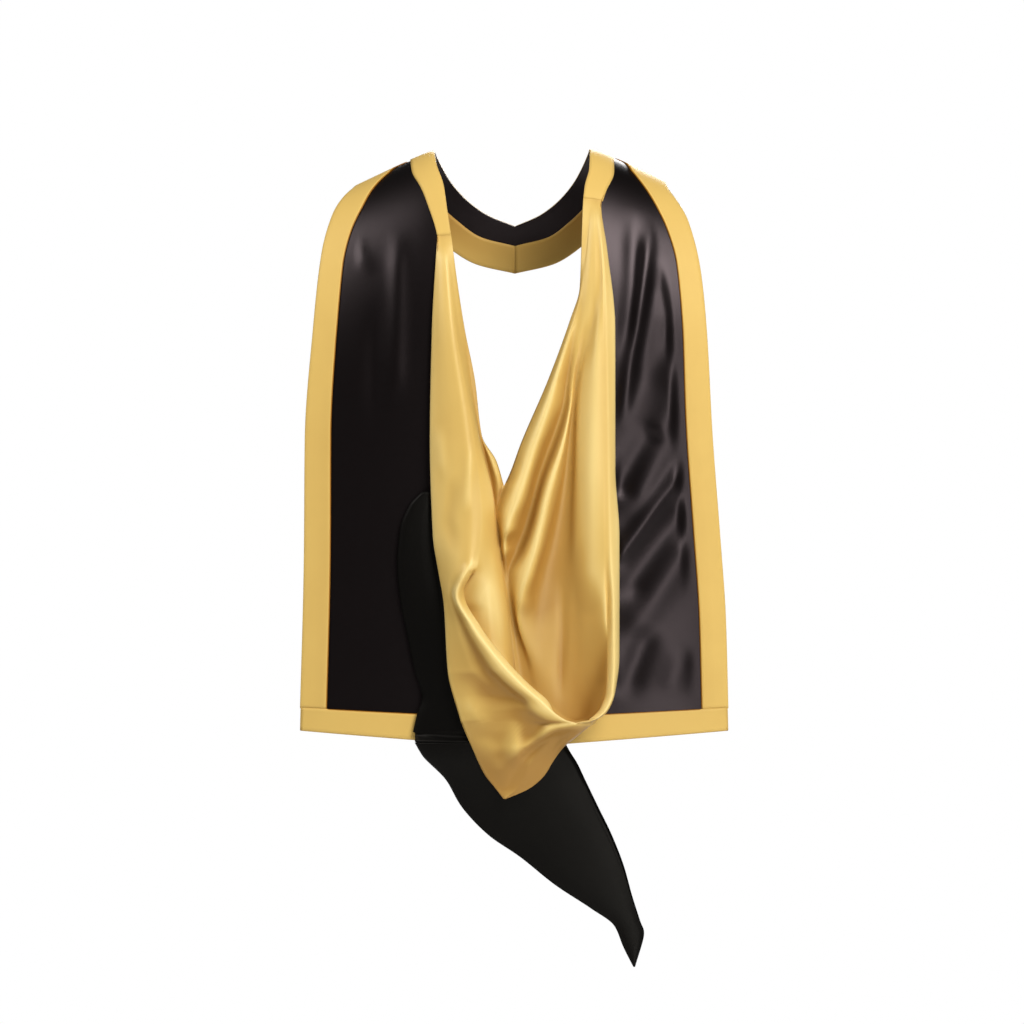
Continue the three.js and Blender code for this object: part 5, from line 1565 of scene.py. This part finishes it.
    def _loft(self, cloth: Cloth, rows: list[list[Vector]], size: tuple[float, float]) -> None:
        """Adds smooth rows to a cloth as one grid."""
        steps = [self.knot_steps] * (len(rows[0]) - 1)
        lines = [through(row, steps) for row in rows]
        cloth.grid(len(lines[0]) - 1, len(lines) - 1, lambda column, row: lines[row][column], size)

    def make_shell(self, finishes: Finishes) -> bpy.types.Object:
        """Builds the shell.

        Returns:
            The finished piece.
        """
        cloth = Cloth("cowl_shell_cloth")
        first, last = self.rows.keys[0], self.rows.keys[-1]
        shares = [mix(first, last, i / self.shell_rows) for i in range(self.shell_rows + 1)]
        rows = [self.shell_row(share) for share in shares]
        seam = self.tail_row(0)[:-1]
        seam.append(seam[-1].lerp(seam[0], self.seam_turn))
        for point in seam:
            point.z += self.seam_gap
        bottom = rows[-1]
        for i in range(1, self.join_rows + 1):
            rows.append([a.lerp(b, i / self.join_rows) for a, b in zip(bottom, seam)])
        self._loft(cloth, rows, (0.4, 0.25))
        # Painted shade: the shell wears the darker, duller copy of the black satin.
        return cloth.finish([finishes.black_reverse], self.wall, Slot.BLACK, "cowl_shell")

    def make_tail(self, finishes: Finishes) -> bpy.types.Object:
        """Builds the folded tail.

        Returns:
            The finished piece.
        """
        cloth = Cloth("liripipe_cloth")
        last = self.tail.keys[-1]
        rows = [self.tail_row(last * i / self.tail_rows) for i in range(self.tail_rows + 1)]
        self._loft(cloth, rows, (0.3, 0.24))
        # Painted shade: the tail wears the darker, duller copy of the black satin.
        return cloth.finish([finishes.black_reverse], self.wall, Slot.BLACK, "liripipe")


@dataclass
class Studio:
    """Plain pale studio with soft light, and the camera behind the wearer. Sizes in metres.

    Attributes:
        target: x and z that the camera faces.
        middle_y: y of the place that the lights face.
        distance: Distance of the camera.
        lens, sensor: The camera's, in millimetres.
        floor, floor_half: Height and half width of the floor.
        floor_seen: How brightly the floor shows, beside the light on it.
        air_light, air_seen: Strength of the air as a light, and as it shows.
        lights: Name, turn, rise, distance, size and power of each light.
    """

    target: tuple[float, float] = (-0.003, -0.37)
    middle_y: float = -0.1
    distance: float = 5.1
    lens: float = 176.0
    sensor: float = 36
    floor: float = -1.45
    floor_half: float = 3.0
    floor_seen: float = 0.55
    air_light: float = 0.045
    air_seen: float = 1.0
    lights: tuple[tuple, ...] = (
        ("key", 32, 38, 3.2, (1.6, 1.6), 84),
        ("tall", 26, -6, 3.0, (0.8, 2.4), 26),
        ("fill", -68, 38, 3.0, (1.4, 1.4), 38),
        ("front", 170, 24, 3.4, (1.8, 1.8), 75),
    )

    def build(self) -> None:
        """Builds the floor, the lights, the air round them and the camera."""
        self._floor()
        for light in self.lights:
            self._light(*light)
        self._air()
        data = bpy.data.cameras.new("view")
        data.lens = self.lens
        data.sensor_width = self.sensor
        camera = bpy.data.objects.new("view", data)
        camera.location = (self.target[0], -self.distance, self.target[1])
        camera.rotation_euler = (math.pi / 2, 0, 0)
        bpy.context.scene.collection.objects.link(camera)
        bpy.context.scene.camera = camera
        bpy.context.scene.view_settings.view_transform = "Standard"

    def _air(self) -> None:
        """Surrounds the studio with white, which lights the hood only a little."""
        world = bpy.data.worlds.new("studio")
        world.use_nodes = True
        background = world.node_tree.nodes["Background"]
        background.inputs["Color"].default_value = (1, 1, 1, 1)
        self._glow(world.node_tree, background.inputs["Strength"], self.air_light, self.air_seen)
        bpy.context.scene.world = world

    def _glow(self, tree: bpy.types.NodeTree, strength: bpy.types.NodeSocket, lighting: float,
              seen: float) -> None:
        """Lets something look brighter than the light it gives.

        Args:
            tree: The nodes it belongs to.
            strength: The socket of its strength.
            lighting: Strength of the light that it gives.
            seen: Strength that shows.
        """
        path = tree.nodes.new("ShaderNodeLightPath")
        level = map_range(tree, path.outputs["Is Camera Ray"], (0, 1), (lighting, seen))
        tree.links.new(level.outputs["Result"], strength)

    def _light(self, name: str, turn: float, rise: float, away: float, size: tuple[float, float],
               power: float) -> None:
        """Adds a soft light that faces the middle of the hood.

        Args:
            name: The light's name.
            turn: Degrees to the right of the line from the hood to the camera.
            rise: Degrees above the horizon.
            away: Its distance from the hood.
            size: Its width and height.
            power: Its power in watts.
        """
        data = bpy.data.lights.new(name, "AREA")
        data.shape = "RECTANGLE"
        data.size, data.size_y = size
        data.energy = power
        light = bpy.data.objects.new(name, data)
        turn, rise = math.radians(turn), math.radians(rise)
        out = Vector((math.sin(turn) * math.cos(rise), -math.cos(turn) * math.cos(rise), math.sin(rise)))
        light.location = Vector((self.target[0], self.middle_y, self.target[1])) + out * away
        light.rotation_euler = (-out).to_track_quat("-Z", "Y").to_euler()
        bpy.context.scene.collection.objects.link(light)

    def _floor(self) -> None:
        """Lays the pale floor under the hood."""
        mesh = bmesh.new()
        bmesh.ops.create_grid(mesh, x_segments=2, y_segments=2, size=self.floor_half)
        bmesh.ops.translate(mesh, verts=mesh.verts, vec=(0, 0, self.floor))
        data = bpy.data.meshes.new("floor")
        mesh.to_mesh(data)
        mesh.free()
        paper = bpy.data.materials.new("floor_paper")
        paper.use_nodes = True
        shader = paper.node_tree.nodes["Principled BSDF"]
        shader.inputs["Base Color"].default_value = (0.85, 0.85, 0.85, 1)
        shader.inputs["Roughness"].default_value = 0.9
        shader.inputs["Emission Color"].default_value = (1, 1, 1, 1)
        self._glow(paper.node_tree, shader.inputs["Emission Strength"], 0.0, self.floor_seen)
        data.materials.append(paper)
        floor = bpy.data.objects.new("floor", data)
        bpy.context.scene.collection.objects.link(floor)


def main() -> None:
    """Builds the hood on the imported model, and the studio round it."""
    logging.basicConfig(level=logging.INFO, format="%(name)s: %(message)s")
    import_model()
    finishes = Finishes.make()
    cape = Cape()
    trims = Trims(cape)
    cowl = Cowl(cape)
    shell = Shell(cowl)
    cape_cloth = cape.make(finishes)
    band = trims.make_neckband(finishes)
    for side in Side:
        border = trims.make_side(side, finishes)
    hem = trims.make_hem(finishes)
    lining = cowl.make_lining(finishes)
    outer = shell.make_shell(finishes)
    tail = shell.make_tail(finishes)
    Studio().build()


if __name__ == "__main__":
    main()
